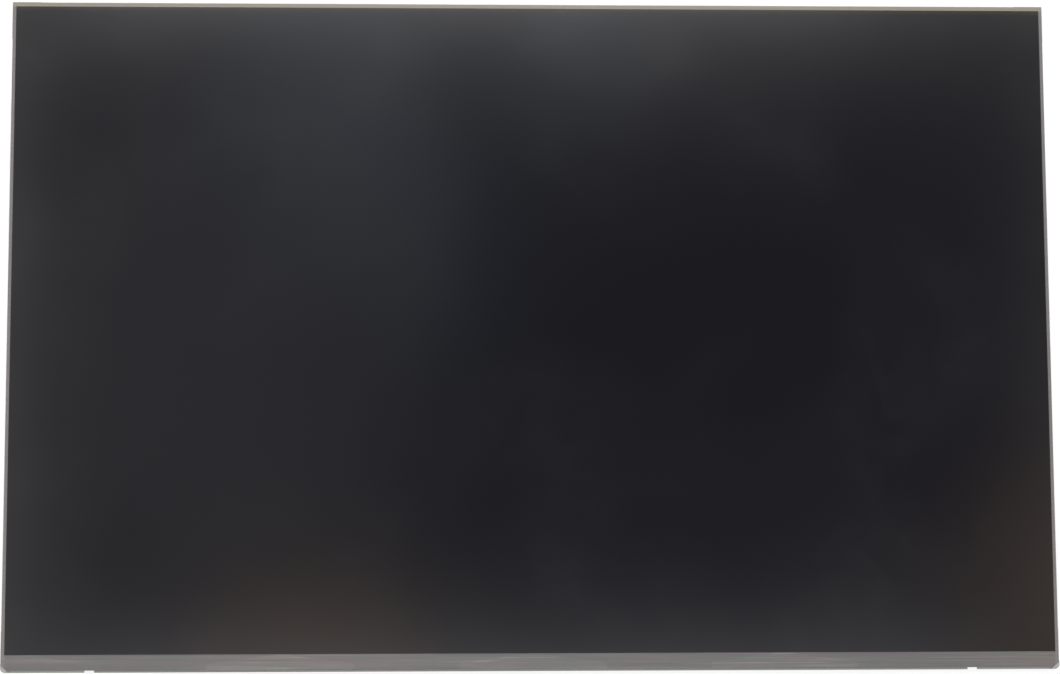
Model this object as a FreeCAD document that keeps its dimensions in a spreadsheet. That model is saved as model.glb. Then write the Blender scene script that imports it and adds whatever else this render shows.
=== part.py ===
"""Bare display module of a laptop: a 14-inch liquid crystal cell on its edge-lit backlight.

The display faces +Z, its upper edge points to +Y, and the origin lies under the middle of the outline,
in the plane that the rear of the circuit cover touches. All lengths are in millimetres.
"""
import FreeCAD
import Part
import math
import os
import re

import Sketcher

# Driving dimensions: the cell's alias, its value and what it measures
SIZES = [
    ("panel_width", 306.5, "outline, left to right"),
    ("panel_height", 197.0, "outline, lower to upper edge"),
    # Liquid crystal cell
    ("glass_thickness", 0.25, "each of the two glasses"),
    ("glass_inset", 0.25, "outline to glass at the sides and the upper edge"),
    ("glass_lower_inset", 0.6, "outline to the front glass at the lower edge"),
    ("glass_corner_cut", 1.8, "cut-off lower corners of the front glass"),
    ("bond_ledge", 3.6, "front glass running past the rear glass at the lower edge"),
    ("polarizer_thickness", 0.12, "each polarizer film"),
    ("polarizer_side_margin", 1.2, "outline to the polarizers at the sides"),
    ("polarizer_upper_margin", 1.45, "outline to the polarizers at the upper edge"),
    ("polarizer_lower_margin", 5.1, "outline to the front polarizer at the lower edge"),
    ("rear_polarizer_setback", 0.3, "rear glass running past the rear polarizer at the lower edge"),
    # Backlight sheets
    ("rim_tape_thickness", 0.06, "double-sided tape under the cell"),
    ("rim_tape_inset", 0.1, "frame's faces to the tape"),
    ("rim_tape_overlap", 0.9, "front polarizer's edge to the tape's window"),
    ("prism_thickness", 0.09, "each prism sheet"),
    ("diffuser_thickness", 0.06, "diffuser sheet"),
    ("guide_thickness", 0.45, "light guide plate"),
    ("reflector_thickness", 0.08, "reflector sheet"),
    ("sheet_clearance", 0.2, "sheets to the frame's wall"),
    ("tab_width", 6.0, "locating tabs on the sheets' upper edge"),
    ("tab_reach", 0.3, "tabs beyond the sheets' upper edge"),
    ("tab_spacing", 102.0, "middle tab to the outer ones"),
    ("guide_lower_gap", 2.3, "frame's lower wall to the light guide"),
    # Light-emitting diodes
    ("led_count", 40, "number of diodes"),
    ("led_length", 3.0, "diode along the row"),
    ("led_depth", 0.85, "diode from back to lens"),
    ("led_height", 0.4, "diode height"),
    ("led_guide_gap", 0.05, "diode to the light guide's edge"),
    ("led_end_margin", 8.0, "outline to the first diode"),
    ("flex_thickness", 0.08, "diodes' flexible circuit"),
    ("flex_end_reach", 2.5, "flexible circuit beyond the last diode"),
    ("flex_wall_gap", 0.1, "flexible circuit to the frame's lower wall"),
    ("flex_overlap", 0.8, "flexible circuit over the light guide"),
    ("sheet_flex_gap", 0.1, "flexible circuit to the sheets over the light guide"),
    ("tail_width", 12.0, "tail of the flexible circuit"),
    ("tail_clearance", 0.3, "tail to the sides of its notch"),
    ("tail_drop_clearance", 0.05, "tail to the floor of its notch"),
    # Moulded frame
    ("frame_wall", 0.7, "frame's wall at the sides and the upper edge"),
    ("frame_lower_wall", 0.75, "frame's wall at the lower edge"),
    ("frame_clearance", 0.05, "frame to the plate's flanges"),
    ("corner_block_length", 8.5, "frame's solid upper corners, along the upper edge"),
    ("corner_block_height", 11.0, "frame's solid upper corners, along the sides"),
    ("lower_block_height", 12.0, "frame's solid lower corners, along the sides"),
    ("lower_block_length", 24.0, "frame's solid lower corners, along the lower edge"),
    ("lower_corner_radius", 1.5, "rounding of the frame's lower corners"),
    ("post_clearance", 0.2, "front glass's cut corners to the frame's posts, across the panel"),
    ("post_recess", 0.1, "front glass's face to the posts' ends"),
    ("notch_width", 2.9, "gap between a lower corner and the guard tape"),
    ("hook_length", 5.0, "snap hooks along the wall"),
    ("hook_height", 0.25, "snap hooks"),
    ("hook_recess", 0.05, "snap hooks' tips to the flanges' outside"),
    ("hook_lift", 0.15, "plate to the snap hooks"),
    ("side_hook_spacing", 58.0, "hooks along a side wall"),
    ("upper_hook_spacing", 60.0, "hooks along the upper wall"),
    ("window_clearance", 0.06, "hooks to their windows"),
    # Back plate
    ("plate_thickness", 0.25, "stamped aluminium sheet"),
    ("plate_lower_setback", 0.3, "frame's lower face to the plate's lower edge"),
    ("plate_corner_cut", 1.2, "cut-off upper corners of the plate"),
    ("flange_setback", 0.15, "frame's front to the flanges' edge"),
    ("flange_end_gap", 0.3, "flanges' ends to the frame's corners"),
    ("fold_radius", 0.18, "outside of the folds"),
    ("emboss_depth", 0.2, "raised panel of the plate's rear"),
    ("emboss_draft", 45.0, "slope of the raised panel's edge, in degrees"),
    ("emboss_radius", 8.0, "corners of the raised panel"),
    ("emboss_side_margin", 9.0, "outline to the raised panel at the sides"),
    ("emboss_upper_margin", 8.0, "outline to the raised panel at the upper edge"),
    ("emboss_lower_margin", 6.0, "circuit cover to the raised panel"),
    ("bead_width", 7.0, "stiffening beads in the raised panel"),
    ("bead_depth", 0.1, "stiffening beads"),
    ("bead_radius", 3.0, "ends of the beads"),
    ("bead_margin", 24.0, "raised panel's edge to a bead's end"),
    ("bead_spacing", 52.0, "between neighbouring beads"),
    ("jig_hole", 2.5, "two locating holes"),
    ("jig_hole_inset", 4.5, "outline to a locating hole"),
    ("jig_hole_height", 76.0, "lower edge to a locating hole"),
    # Driver films and the tape over their bend
    ("film_thickness", 0.04, "source driver film"),
    ("film_width", 32.0, "source driver film"),
    ("film_end_margin", 0.9, "guard tape's end to the outer films"),
    ("film_bond", 1.6, "films' ends on the glass and on the board"),
    ("film_run", 2.9, "bend to the board's edge"),
    ("driver_length", 18.0, "source driver chip"),
    ("driver_width", 1.1, "source driver chip"),
    ("driver_height", 0.35, "source driver chip"),
    ("driver_setback", 1.05, "bend to the source driver chip"),
    ("guard_thickness", 0.06, "tape over the bend"),
    ("guard_clearance", 0.02, "bend to the tape"),
    ("guard_leg", 0.65, "tape behind the bend"),
    ("guard_glass_gap", 0.03, "tape to the front glass"),
    # Circuit board and its cover
    ("board_thickness", 0.4, "circuit board"),
    ("board_end_setback", 0.5, "guard tape's end to the board's end"),
    ("board_width", 10.0, "middle of the board"),
    ("board_end_width", 6.5, "ends of the board"),
    ("board_left_reach", 4.0, "tail's middle to the board's left step"),
    ("board_right_reach", 24.0, "receptacle's middle to the board's right step"),
    ("board_hole", 1.6, "two locating holes"),
    ("board_hole_inset", 3.2, "board's end to a locating hole"),
    ("board_hole_height", 4.4, "board's edge to a locating hole"),
    ("board_gap", 0.02, "flexible circuit's tail to the plate"),
    ("board_tape_edge", 0.6, "board's edge and films to the board's tape"),
    ("board_tape_end", 6.0, "board's end to the board's tape"),
    ("component_height", 0.85, "tallest component"),
    ("cover_thickness", 0.05, "clear film over the board"),
    ("cover_overhang", 1.5, "film beyond the board's ends"),
    ("cover_board_gap", 0.5, "board's edge to the foot of the film's slope"),
    ("cover_driver_gap", 0.15, "source driver chips to the film's lower slope"),
    ("cover_slope", 1.5, "run of the film's upper slope"),
    ("cover_lower_slope", 0.3, "run of the film's lower slope"),
    ("cover_lip", 3.0, "film's glued upper lip"),
    ("cover_lower_lip", 0.4, "film's glued lower lip"),
    ("cover_cut_margin", 1.0, "receptacle to the film's cut-out"),
    # Display receptacle
    ("edp_setback", 0.2, "board's edge to the mouth"),
    ("edp_length", 20.4, "insulator, left to right"),
    ("edp_depth", 3.5, "insulator, mouth to back"),
    ("edp_back_wall", 1.2, "insulator's rear wall"),
    ("edp_arm", 2.0, "insulator's end blocks"),
    ("edp_floor", 0.2, "insulator's tongue"),
    ("edp_floor_setback", 0.3, "mouth to the tongue"),
    ("shell_thickness", 0.15, "steel shell"),
    ("shell_lip", 0.2, "insulator's back beyond the shell"),
    ("shell_window", 1.2, "windows in the shell"),
    ("shell_window_spacing", 5.6, "between neighbouring windows"),
    ("contact_count", 30, "number of contacts"),
    ("contact_pitch", 0.5, "between neighbouring contacts"),
    ("contact_width", 0.2, "each contact"),
    ("contact_thickness", 0.1, "each contact"),
    ("contact_setback", 0.3, "tongue's edge to the contact's tip"),
    ("contact_tail", 0.7, "soldered end behind the insulator"),
    # Components on the board
    ("package_height", 0.65, "chip packages"),
    ("timing_side", 7.0, "timing chip"),
    ("timing_offset", 1.5, "middle line to the timing chip"),
    ("memory_side", 2.6, "memory chip"),
    ("memory_gap", 1.2, "timing chip to the memory chip"),
    ("power_side", 5.0, "power chip"),
    ("power_offset", 14.0, "receptacle to the power chip"),
    ("gamma_side", 4.0, "gamma chip"),
    ("gamma_offset", 22.0, "middle line to the gamma chip"),
    ("backlight_side", 4.0, "backlight driver chip"),
    ("backlight_offset", 11.0, "tail's middle to the backlight driver chip"),
    ("inductor_side", 3.0, "power inductors"),
    ("inductor_gap", 1.0, "chip to inductor, and between inductors"),
    ("row_gap", 1.2, "chip to the first component of a row"),
    ("outer_row", 7.4, "board's edge to the capacitors beside a chip"),
    ("inner_row", 3.0, "board's edge to the resistors beside a chip"),
    ("end_row", 3.6, "board's edge to the components on the board's ends"),
    ("end_capacitor_inset", 8.0, "board's end to the first capacitor there"),
    ("end_resistor_inset", 18.0, "board's end to the first resistor there"),
    ("capacitor_length", 1.6, "chip capacitors across the board"),
    ("capacitor_width", 0.8, "chip capacitors along the board"),
    ("capacitor_height", 0.7, "chip capacitors"),
    ("capacitor_pitch", 1.6, "between neighbouring capacitors"),
    ("capacitor_row", 5, "capacitors in a row"),
    ("resistor_length", 1.0, "chip resistors across the board"),
    ("resistor_width", 0.5, "chip resistors along the board"),
    ("resistor_height", 0.35, "chip resistors"),
    ("resistor_pitch", 1.3, "between neighbouring resistors"),
    ("resistor_row", 6, "resistors in a row"),
]
VALUES = {alias: value for alias, value, meaning in SIZES}

# Levels, from the cover's rear to the front polarizer
BOARD_REAR = "(cover_thickness + component_height)"
BOARD_FRONT = f"({BOARD_REAR} + board_thickness)"
PLATE_REAR = f"({BOARD_FRONT} + flex_thickness + board_gap)"
PLATE_FRONT = f"({PLATE_REAR} + plate_thickness)"
GUIDE_REAR = f"({PLATE_FRONT} + reflector_thickness)"
GUIDE_FRONT = f"({GUIDE_REAR} + guide_thickness)"
LOWER_PRISM = f"({GUIDE_FRONT} + diffuser_thickness)"
UPPER_PRISM = f"({LOWER_PRISM} + prism_thickness)"
FRAME_FRONT = f"({UPPER_PRISM} + prism_thickness)"
CELL_REAR = f"({FRAME_FRONT} + rim_tape_thickness)"
REAR_GLASS = f"({CELL_REAR} + polarizer_thickness)"
FRONT_GLASS = f"({REAR_GLASS} + glass_thickness)"
FRONT_FILM = f"({FRONT_GLASS} + glass_thickness)"
FLANGE_FRONT = f"({FRAME_FRONT} - flange_setback)"
EMBOSS_REAR = f"({PLATE_REAR} - emboss_depth)"
EMBOSS_FRONT = f"({PLATE_FRONT} - emboss_depth)"
HOOK_REAR = f"({PLATE_FRONT} + hook_lift)"
DRIVER_REAR = f"({BOARD_FRONT} - driver_height)"
CONTACT_FRONT = f"({BOARD_REAR} - edp_floor)"

# Outline, and the bend of the driver films inside its lower edge
RIGHT = "(panel_width / 2)"
UPPER = "(panel_height / 2)"
LEFT = f"(-{RIGHT})"
LOWER = f"(-{UPPER})"
BEND_RADIUS = f"(({FRONT_GLASS} - {BOARD_FRONT}) / 2)"
BEND_LEVEL = f"(({FRONT_GLASS} + {BOARD_FRONT}) / 2)"
BEND = f"({LOWER} + guard_thickness + guard_clearance + {BEND_RADIUS})"
GUARD_FRONT = f"({FRONT_GLASS} + guard_clearance + guard_thickness)"
GUARD_REAR = f"({BOARD_FRONT} - guard_clearance - guard_thickness)"
NOTCH_RIGHT = f"({RIGHT} - lower_block_length)"
ROUND_RIGHT = f"({RIGHT} - lower_corner_radius)"
ROUND_UPPER = f"({LOWER} + lower_corner_radius)"
GUARD_RIGHT = f"({NOTCH_RIGHT} - notch_width)"
FILM_STEP = f"(({GUARD_RIGHT} - film_end_margin - film_width / 2) / 1.5)"

# Edges of the cell
GLASS_RIGHT = f"({RIGHT} - glass_inset)"
GLASS_UPPER = f"({UPPER} - glass_inset)"
GLASS_LOWER = f"({LOWER} + glass_lower_inset)"
REAR_GLASS_LOWER = f"({GLASS_LOWER} + bond_ledge)"
POLARIZER_RIGHT = f"({RIGHT} - polarizer_side_margin)"
POLARIZER_UPPER = f"({UPPER} - polarizer_upper_margin)"
POLARIZER_LOWER = f"({LOWER} + polarizer_lower_margin)"
REAR_POLARIZER_LOWER = f"({REAR_GLASS_LOWER} + rear_polarizer_setback)"

# Walls of the frame and edges of what it holds
WALL_RIGHT = f"({RIGHT} - plate_thickness - frame_clearance)"
WALL_UPPER = f"({UPPER} - plate_thickness - frame_clearance)"
ROOM_RIGHT = f"({WALL_RIGHT} - frame_wall)"
ROOM_UPPER = f"({WALL_UPPER} - frame_wall)"
ROOM_LOWER = f"({BEND} + frame_lower_wall)"
SHEET_RIGHT = f"({ROOM_RIGHT} - sheet_clearance)"
SHEET_UPPER = f"({ROOM_UPPER} - sheet_clearance)"
GUIDE_LOWER = f"({ROOM_LOWER} + guide_lower_gap)"
FLEX_LOWER = f"({ROOM_LOWER} + flex_wall_gap)"
FLEX_UPPER = f"({GUIDE_LOWER} + flex_overlap)"
SHEET_LOWER = f"({FLEX_UPPER} + sheet_flex_gap)"
LED_RIGHT = f"({RIGHT} - led_end_margin)"
TAB_PLACES = ["tab_spacing", "0", "(-tab_spacing)"]
SIDE_HOOK_PLACES = [f"({step} * side_hook_spacing)" for step in (-1, 0, 1)]
UPPER_HOOK_PLACES = [f"({step} * upper_hook_spacing)" for step in (-1.5, -0.5, 0.5, 1.5)]

# Edges of the board, its receptacle and its cover
TAIL_PLACE = f"(-{FILM_STEP})"
EDP_PLACE = FILM_STEP
BOARD_RIGHT = f"({GUARD_RIGHT} - board_end_setback)"
BOARD_LOWER = f"({BEND} + film_run)"
BOARD_MIDDLE = f"({BOARD_LOWER} + board_width / 2)"
BOARD_UPPER = f"({BOARD_LOWER} + board_width)"
FILM_END = f"({BOARD_LOWER} + film_bond)"
DRIVER_LOWER = f"({BEND} + driver_setback)"
EDP_MOUTH = f"({BOARD_LOWER} + edp_setback)"
EDP_BACK = f"({EDP_MOUTH} + edp_depth)"
EDP_WALL = f"({EDP_BACK} - edp_back_wall)"
EDP_LEFT = f"({EDP_PLACE} - edp_length / 2)"
EDP_RIGHT = f"({EDP_PLACE} + edp_length / 2)"
CONTACT_SPAN = "((contact_count - 1) * contact_pitch)"
CONTACT_END = f"({EDP_BACK} + contact_thickness + contact_tail)"
COVER_RIGHT = f"({BOARD_RIGHT} + cover_overhang)"
COVER_FOOT = f"({BOARD_UPPER} + cover_board_gap)"
COVER_BROW = f"({COVER_FOOT} + cover_slope)"
COVER_UPPER = f"({COVER_BROW} + cover_lip)"
COVER_HEEL = f"({DRIVER_LOWER} - cover_driver_gap)"
COVER_CHIN = f"({COVER_HEEL} - cover_lower_slope)"
COVER_LOWER = f"({COVER_CHIN} - cover_lower_lip)"

# Raised panel of the back plate
EMBOSS_RIGHT = f"({RIGHT} - emboss_side_margin)"
EMBOSS_UPPER = f"({UPPER} - emboss_upper_margin)"
EMBOSS_LOWER = f"({COVER_UPPER} + emboss_lower_margin)"

# Chip packages: side and place along the board
PACKAGES = {
    "timing_chip": ("timing_side", "timing_offset"),
    "memory_chip": ("memory_side", "(timing_offset - timing_side / 2 - memory_gap - memory_side / 2)"),
    "gamma_chip": ("gamma_side", "(-gamma_offset)"),
    "power_chip": ("power_side", f"({EDP_LEFT} - power_offset)"),
    "backlight_chip": ("backlight_side", f"({TAIL_PLACE} + backlight_offset)"),
}
CHIPS_WITH_ROWS = ["timing_chip", "gamma_chip", "power_chip", "backlight_chip"]

doc = FreeCAD.newDocument("display_panel")
sheet = doc.addObject("Spreadsheet::Sheet", "sizes")
for line, (alias, value, meaning) in enumerate(SIZES, start=1):
    sheet.set(f"A{line}", meaning)
    sheet.set(f"B{line}", str(value))
    sheet.setAlias(f"B{line}", alias)
doc.recompute()

sub_parts = []


def bound(formula):
    """The formula as an expression, with each alias read from the sheet."""
    return re.sub(r"[a-z]\w*", lambda word: f"sizes.{word[0]}" if word[0] in VALUES else word[0], formula)


def now(formula):
    """The formula's present value, which places a sketch before its constraints hold it."""
    return float(sheet.evalExpression(bound(formula)))


def new_body(label):
    piece = doc.addObject("PartDesign::Body", label)
    piece.Label = label
    piece.AllowCompound = True
    sub_parts.append(piece)
    return piece


def new_sketch(piece, name, level="0", role="XY_Plane"):
    """A sketch on one of the body's origin planes, moved along the plane's normal to the level."""
    drawing = piece.newObject("Sketcher::SketchObject", f"{piece.Label}_{name}_sketch")
    origin_plane = next(feature for feature in piece.Origin.OriginFeatures if feature.Role == role)
    drawing.AttachmentSupport = [(origin_plane, "")]
    drawing.MapMode = "FlatFace"
    drawing.setExpression("AttachmentOffset.Base.z", bound(level))
    return drawing


def hold(drawing, kind, geometry, point, formula):
    """Bind one coordinate of a point to a formula."""
    index = drawing.addConstraint(Sketcher.Constraint(kind, -1, 1, geometry, point, now(formula)))
    drawing.setExpression(f"Constraints[{index}]", bound(formula))


def add_arc(drawing, start, end, centre, turn):
    """An arc from start to end, anticlockwise where turn is 1. Returns its first and last vertex numbers."""
    first, last = (start, end) if turn == 1 else (end, start)
    angles = [math.atan2(point.y - centre.y, point.x - centre.x) for point in (first, last)]
    circle = Part.Circle(centre, FreeCAD.Vector(0, 0, 1), (start - centre).Length)
    drawing.addGeometry(Part.ArcOfCircle(circle, *angles))
    return (1, 2) if turn == 1 else (2, 1)


def outline(drawing, points, arcs=None):
    """A closed outline. arcs maps the number of a point where an arc starts to its centre and its turn."""
    arcs = arcs or {}
    base = drawing.GeometryCount
    places = [FreeCAD.Vector(now(x), now(y), 0) for x, y in points]
    count = len(points)
    ends = []
    for index, start in enumerate(places):
        end = places[(index + 1) % count]
        if index in arcs:
            centre_x, centre_y, turn = arcs[index]
            centre = FreeCAD.Vector(now(centre_x), now(centre_y), 0)
            ends.append(add_arc(drawing, start, end, centre, turn))
        else:
            drawing.addGeometry(Part.LineSegment(start, end))
            ends.append((1, 2))
    for index in range(count):
        following = (index + 1) % count
        join = (base + index, ends[index][1], base + following, ends[following][0])
        drawing.addConstraint(Sketcher.Constraint("Coincident", *join))
    for index, (x, y) in enumerate(points):
        hold(drawing, "DistanceX", base + index, ends[index][0], x)
        hold(drawing, "DistanceY", base + index, ends[index][0], y)
        if index in arcs:
            hold(drawing, "DistanceX", base + index, 3, arcs[index][0])


def rectangle(drawing, left, lower, right, upper):
    outline(drawing, [(left, lower), (right, lower), (right, upper), (left, upper)])


def rounded_rectangle(drawing, left, lower, right, upper, radius):
    inner_left, inner_right = f"({left} + {radius})", f"({right} - {radius})"
    inner_lower, inner_upper = f"({lower} + {radius})", f"({upper} - {radius})"
    points = [
        (inner_right, lower), (right, inner_lower), (right, inner_upper), (inner_right, upper),
        (inner_left, upper), (left, inner_upper), (left, inner_lower), (inner_left, lower),
    ]
    arcs = {
        0: (inner_right, inner_lower, 1),
        2: (inner_right, inner_upper, 1),
        4: (inner_left, inner_upper, 1),
        6: (inner_left, inner_lower, 1),
    }
    outline(drawing, points, arcs)


def circle(drawing, x, y, diameter):
    place = FreeCAD.Vector(now(x), now(y), 0)
    index = drawing.addGeometry(Part.Circle(place, FreeCAD.Vector(0, 0, 1), now(diameter) / 2))
    hold(drawing, "DistanceX", index, 3, x)
    hold(drawing, "DistanceY", index, 3, y)
    size = drawing.addConstraint(Sketcher.Constraint("Diameter", index, now(diameter)))
    drawing.setExpression(f"Constraints[{size}]", bound(diameter))


def bend_outline(drawing, front_end, rear_end, front, rear, thickness):
    """A strip that runs down to the lower edge at the front level and returns at the rear level, seen from +X."""
    level = f"(({front} + {rear}) / 2)"
    inner_front, inner_rear = f"({front} - {thickness})", f"({rear} + {thickness})"
    points = [
        (front_end, front), (BEND, front), (BEND, rear), (rear_end, rear),
        (rear_end, inner_rear), (BEND, inner_rear), (BEND, inner_front), (front_end, inner_front),
    ]
    outline(drawing, points, {1: (BEND, level, 1), 5: (BEND, level, -1)})


def pad(piece, drawing, length, both_ways=False, backwards=False, draft=None):
    """Extrude the sketch, narrowing by the draft angle where one is given."""
    feature = piece.newObject("PartDesign::Pad", drawing.Name.replace("sketch", "pad"))
    feature.Profile = drawing
    feature.setExpression("Length", bound(length))
    feature.SideType = "Symmetric" if both_ways else "One side"
    feature.Reversed = backwards
    if draft:
        feature.setExpression("TaperAngle", bound(f"-{draft}"))
    return feature


def pocket(piece, drawing, depth=None, backwards=False, draft=None):
    """Cut the sketch into the body against its normal, or right through both ways where no depth is given."""
    feature = piece.newObject("PartDesign::Pocket", drawing.Name.replace("sketch", "pocket"))
    feature.Profile = drawing
    feature.Reversed = backwards
    if depth:
        feature.setExpression("Length", bound(depth))
    else:
        feature.Type = "ThroughAll"
        feature.SideType = "Symmetric"
    if draft:
        feature.setExpression("TaperAngle", bound(f"-{draft}"))
    return feature


def repeat(piece, feature, axis, span, number):
    """Copies of the feature, evenly spread over the span."""
    row = piece.newObject("PartDesign::LinearPattern", f"{piece.Label}_row")
    row.Originals = [feature]
    row.Direction = (feature.Profile[0], [axis])
    row.setExpression("Length", bound(span))
    row.setExpression("Occurrences", bound(number))
    piece.Tip = row


def plain_sheet(label, right, lower, upper, level, thickness):
    """A rectangular sheet, alike on the left and the right."""
    piece = new_body(label)
    drawing = new_sketch(piece, "outline", level)
    rectangle(drawing, f"(-{right})", lower, right, upper)
    pad(piece, drawing, thickness)


def tabbed_sheet(label, lower, level, thickness):
    """A sheet of the backlight, located by tabs on its upper edge."""
    points = [(f"(-{SHEET_RIGHT})", lower), (SHEET_RIGHT, lower), (SHEET_RIGHT, SHEET_UPPER)]
    for place in TAB_PLACES:
        points += tab_points(place, "tab_width", SHEET_UPPER, "tab_reach")
    points.append((f"(-{SHEET_RIGHT})", SHEET_UPPER))
    piece = new_body(label)
    drawing = new_sketch(piece, "outline", level)
    outline(drawing, points)
    pad(piece, drawing, thickness)


def tab_points(place, width, edge, reach):
    """The four corners of a tab or its recess, from right to left."""
    right, left = f"({place} + {width} / 2)", f"({place} - {width} / 2)"
    tip = f"({edge} + {reach})"
    return [(right, edge), (right, tip), (left, tip), (left, edge)]


def block(label, low, high):
    """A box between two corners."""
    piece = doc.addObject("Part::Box", label)
    piece.Label = label
    for side, axis, start, end in zip(("Length", "Width", "Height"), "xyz", low, high):
        piece.setExpression(side, bound(f"{end} - {start}"))
        piece.setExpression(f"Placement.Base.{axis}", bound(start))
    return piece


def component(label, place, row, length, width, height):
    """A box on the board's rear face. Its length lies across the board."""
    low = (f"({place} - {width} / 2)", f"({row} - {length} / 2)", f"({BOARD_REAR} - {height})")
    high = (f"({place} + {width} / 2)", f"({row} + {length} / 2)", BOARD_REAR)
    return block(label, low, high)


def group(label, pieces):
    """Like pieces that share one node."""
    whole = doc.addObject("Part::Compound", label)
    whole.Label = label
    whole.Links = pieces
    sub_parts.append(whole)


def make_cell():
    """Two glasses between two polarizers. The front glass runs past the rear one to take the driver films."""
    plain_sheet("front_polarizer", POLARIZER_RIGHT, POLARIZER_LOWER, POLARIZER_UPPER, FRONT_FILM,
                "polarizer_thickness")
    glass = new_body("tft_glass")
    drawing = new_sketch(glass, "outline", FRONT_GLASS)
    cut_right, cut_upper = f"({GLASS_RIGHT} - glass_corner_cut)", f"({GLASS_LOWER} + glass_corner_cut)"
    outline(drawing, [
        (f"(-{cut_right})", GLASS_LOWER), (cut_right, GLASS_LOWER), (GLASS_RIGHT, cut_upper),
        (GLASS_RIGHT, GLASS_UPPER), (f"(-{GLASS_RIGHT})", GLASS_UPPER), (f"(-{GLASS_RIGHT})", cut_upper),
    ])
    pad(glass, drawing, "glass_thickness")
    plain_sheet("colour_filter_glass", GLASS_RIGHT, REAR_GLASS_LOWER, GLASS_UPPER, REAR_GLASS, "glass_thickness")
    plain_sheet("rear_polarizer", POLARIZER_RIGHT, REAR_POLARIZER_LOWER, POLARIZER_UPPER, CELL_REAR,
                "polarizer_thickness")


def make_backlight_sheets():
    """The tape ring under the cell, the optical sheets, the light guide and the reflector."""
    tape = new_body("rim_tape")
    drawing = new_sketch(tape, "ring", FRAME_FRONT)
    tape_right, tape_upper = f"({WALL_RIGHT} - rim_tape_inset)", f"({WALL_UPPER} - rim_tape_inset)"
    window_right = f"({POLARIZER_RIGHT} - rim_tape_overlap)"
    tape_lower = f"({BEND} + rim_tape_inset)"
    cut_right, cut_upper = f"({tape_right} - glass_corner_cut)", f"({tape_lower} + glass_corner_cut)"
    outline(drawing, [
        (f"(-{cut_right})", tape_lower), (cut_right, tape_lower), (tape_right, cut_upper),
        (tape_right, tape_upper), (f"(-{tape_right})", tape_upper), (f"(-{tape_right})", cut_upper),
    ])
    rectangle(drawing, f"(-{window_right})", f"({POLARIZER_LOWER} + rim_tape_overlap)",
              window_right, f"({POLARIZER_UPPER} - rim_tape_overlap)")
    pad(tape, drawing, "rim_tape_thickness")
    tabbed_sheet("upper_prism_sheet", SHEET_LOWER, UPPER_PRISM, "prism_thickness")
    tabbed_sheet("lower_prism_sheet", SHEET_LOWER, LOWER_PRISM, "prism_thickness")
    tabbed_sheet("diffuser_sheet", SHEET_LOWER, GUIDE_FRONT, "diffuser_thickness")
    tabbed_sheet("light_guide_plate", GUIDE_LOWER, GUIDE_REAR, "guide_thickness")
    tabbed_sheet("reflector_sheet", FLEX_LOWER, PLATE_FRONT, "reflector_thickness")


def make_light_row():
    """The row of side-view diodes under their flexible circuit, whose tail bends round to the board."""
    diodes = new_body("led_chips")
    drawing = new_sketch(diodes, "first", f"({GUIDE_FRONT} - led_height)")
    lens = f"({GUIDE_LOWER} - led_guide_gap)"
    rectangle(drawing, f"(-{LED_RIGHT})", f"({lens} - led_depth)", f"(led_length - {LED_RIGHT})", lens)
    first = pad(diodes, drawing, "led_height")
    repeat(diodes, first, "H_Axis", f"(2 * {LED_RIGHT} - led_length)", "led_count")

    flex = new_body("led_flex")
    strip = new_sketch(flex, "strip", GUIDE_FRONT)
    strip_right = f"({LED_RIGHT} + flex_end_reach)"
    rectangle(strip, f"(-{strip_right})", FLEX_LOWER, strip_right, FLEX_UPPER)
    pad(flex, strip, "flex_thickness")
    tail = new_sketch(flex, "tail", TAIL_PLACE, "YZ_Plane")
    bend_outline(tail, FLEX_LOWER, FILM_END, f"({GUIDE_FRONT} + flex_thickness)", BOARD_FRONT, "flex_thickness")
    pad(flex, tail, "tail_width", both_ways=True)


def frame_outline():
    """Outer points of the frame, anticlockwise from the lower left corner, with its two rounded corners."""
    block_upper = f"({LOWER} + lower_block_height)"
    corner_right, corner_upper = f"({RIGHT} - corner_block_length)", f"({UPPER} - corner_block_height)"
    right_half = [
        (NOTCH_RIGHT, BEND), (NOTCH_RIGHT, LOWER), (ROUND_RIGHT, LOWER), (RIGHT, ROUND_UPPER),
        (RIGHT, block_upper), (WALL_RIGHT, block_upper), (WALL_RIGHT, corner_upper), (RIGHT, corner_upper),
        (RIGHT, UPPER), (corner_right, UPPER), (corner_right, WALL_UPPER),
    ]
    left_half = [(f"(-{x})", y) for x, y in reversed(right_half)]
    rounding = right_half.index((ROUND_RIGHT, LOWER))
    mirrored = len(right_half) + len(left_half) - 1 - rounding - 1
    arcs = {rounding: (ROUND_RIGHT, ROUND_UPPER, 1), mirrored: (f"(-{ROUND_RIGHT})", ROUND_UPPER, 1)}
    return right_half + left_half, arcs


def frame_window():
    """Inner points of the frame, with a recess for each tab of the sheets."""
    points = [(f"(-{ROOM_RIGHT})", ROOM_LOWER), (ROOM_RIGHT, ROOM_LOWER), (ROOM_RIGHT, ROOM_UPPER)]
    for place in TAB_PLACES:
        points += tab_points(place, "(tab_width + 2 * sheet_clearance)", ROOM_UPPER, "tab_reach")
    points.append((f"(-{ROOM_RIGHT})", ROOM_UPPER))
    return points


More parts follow.
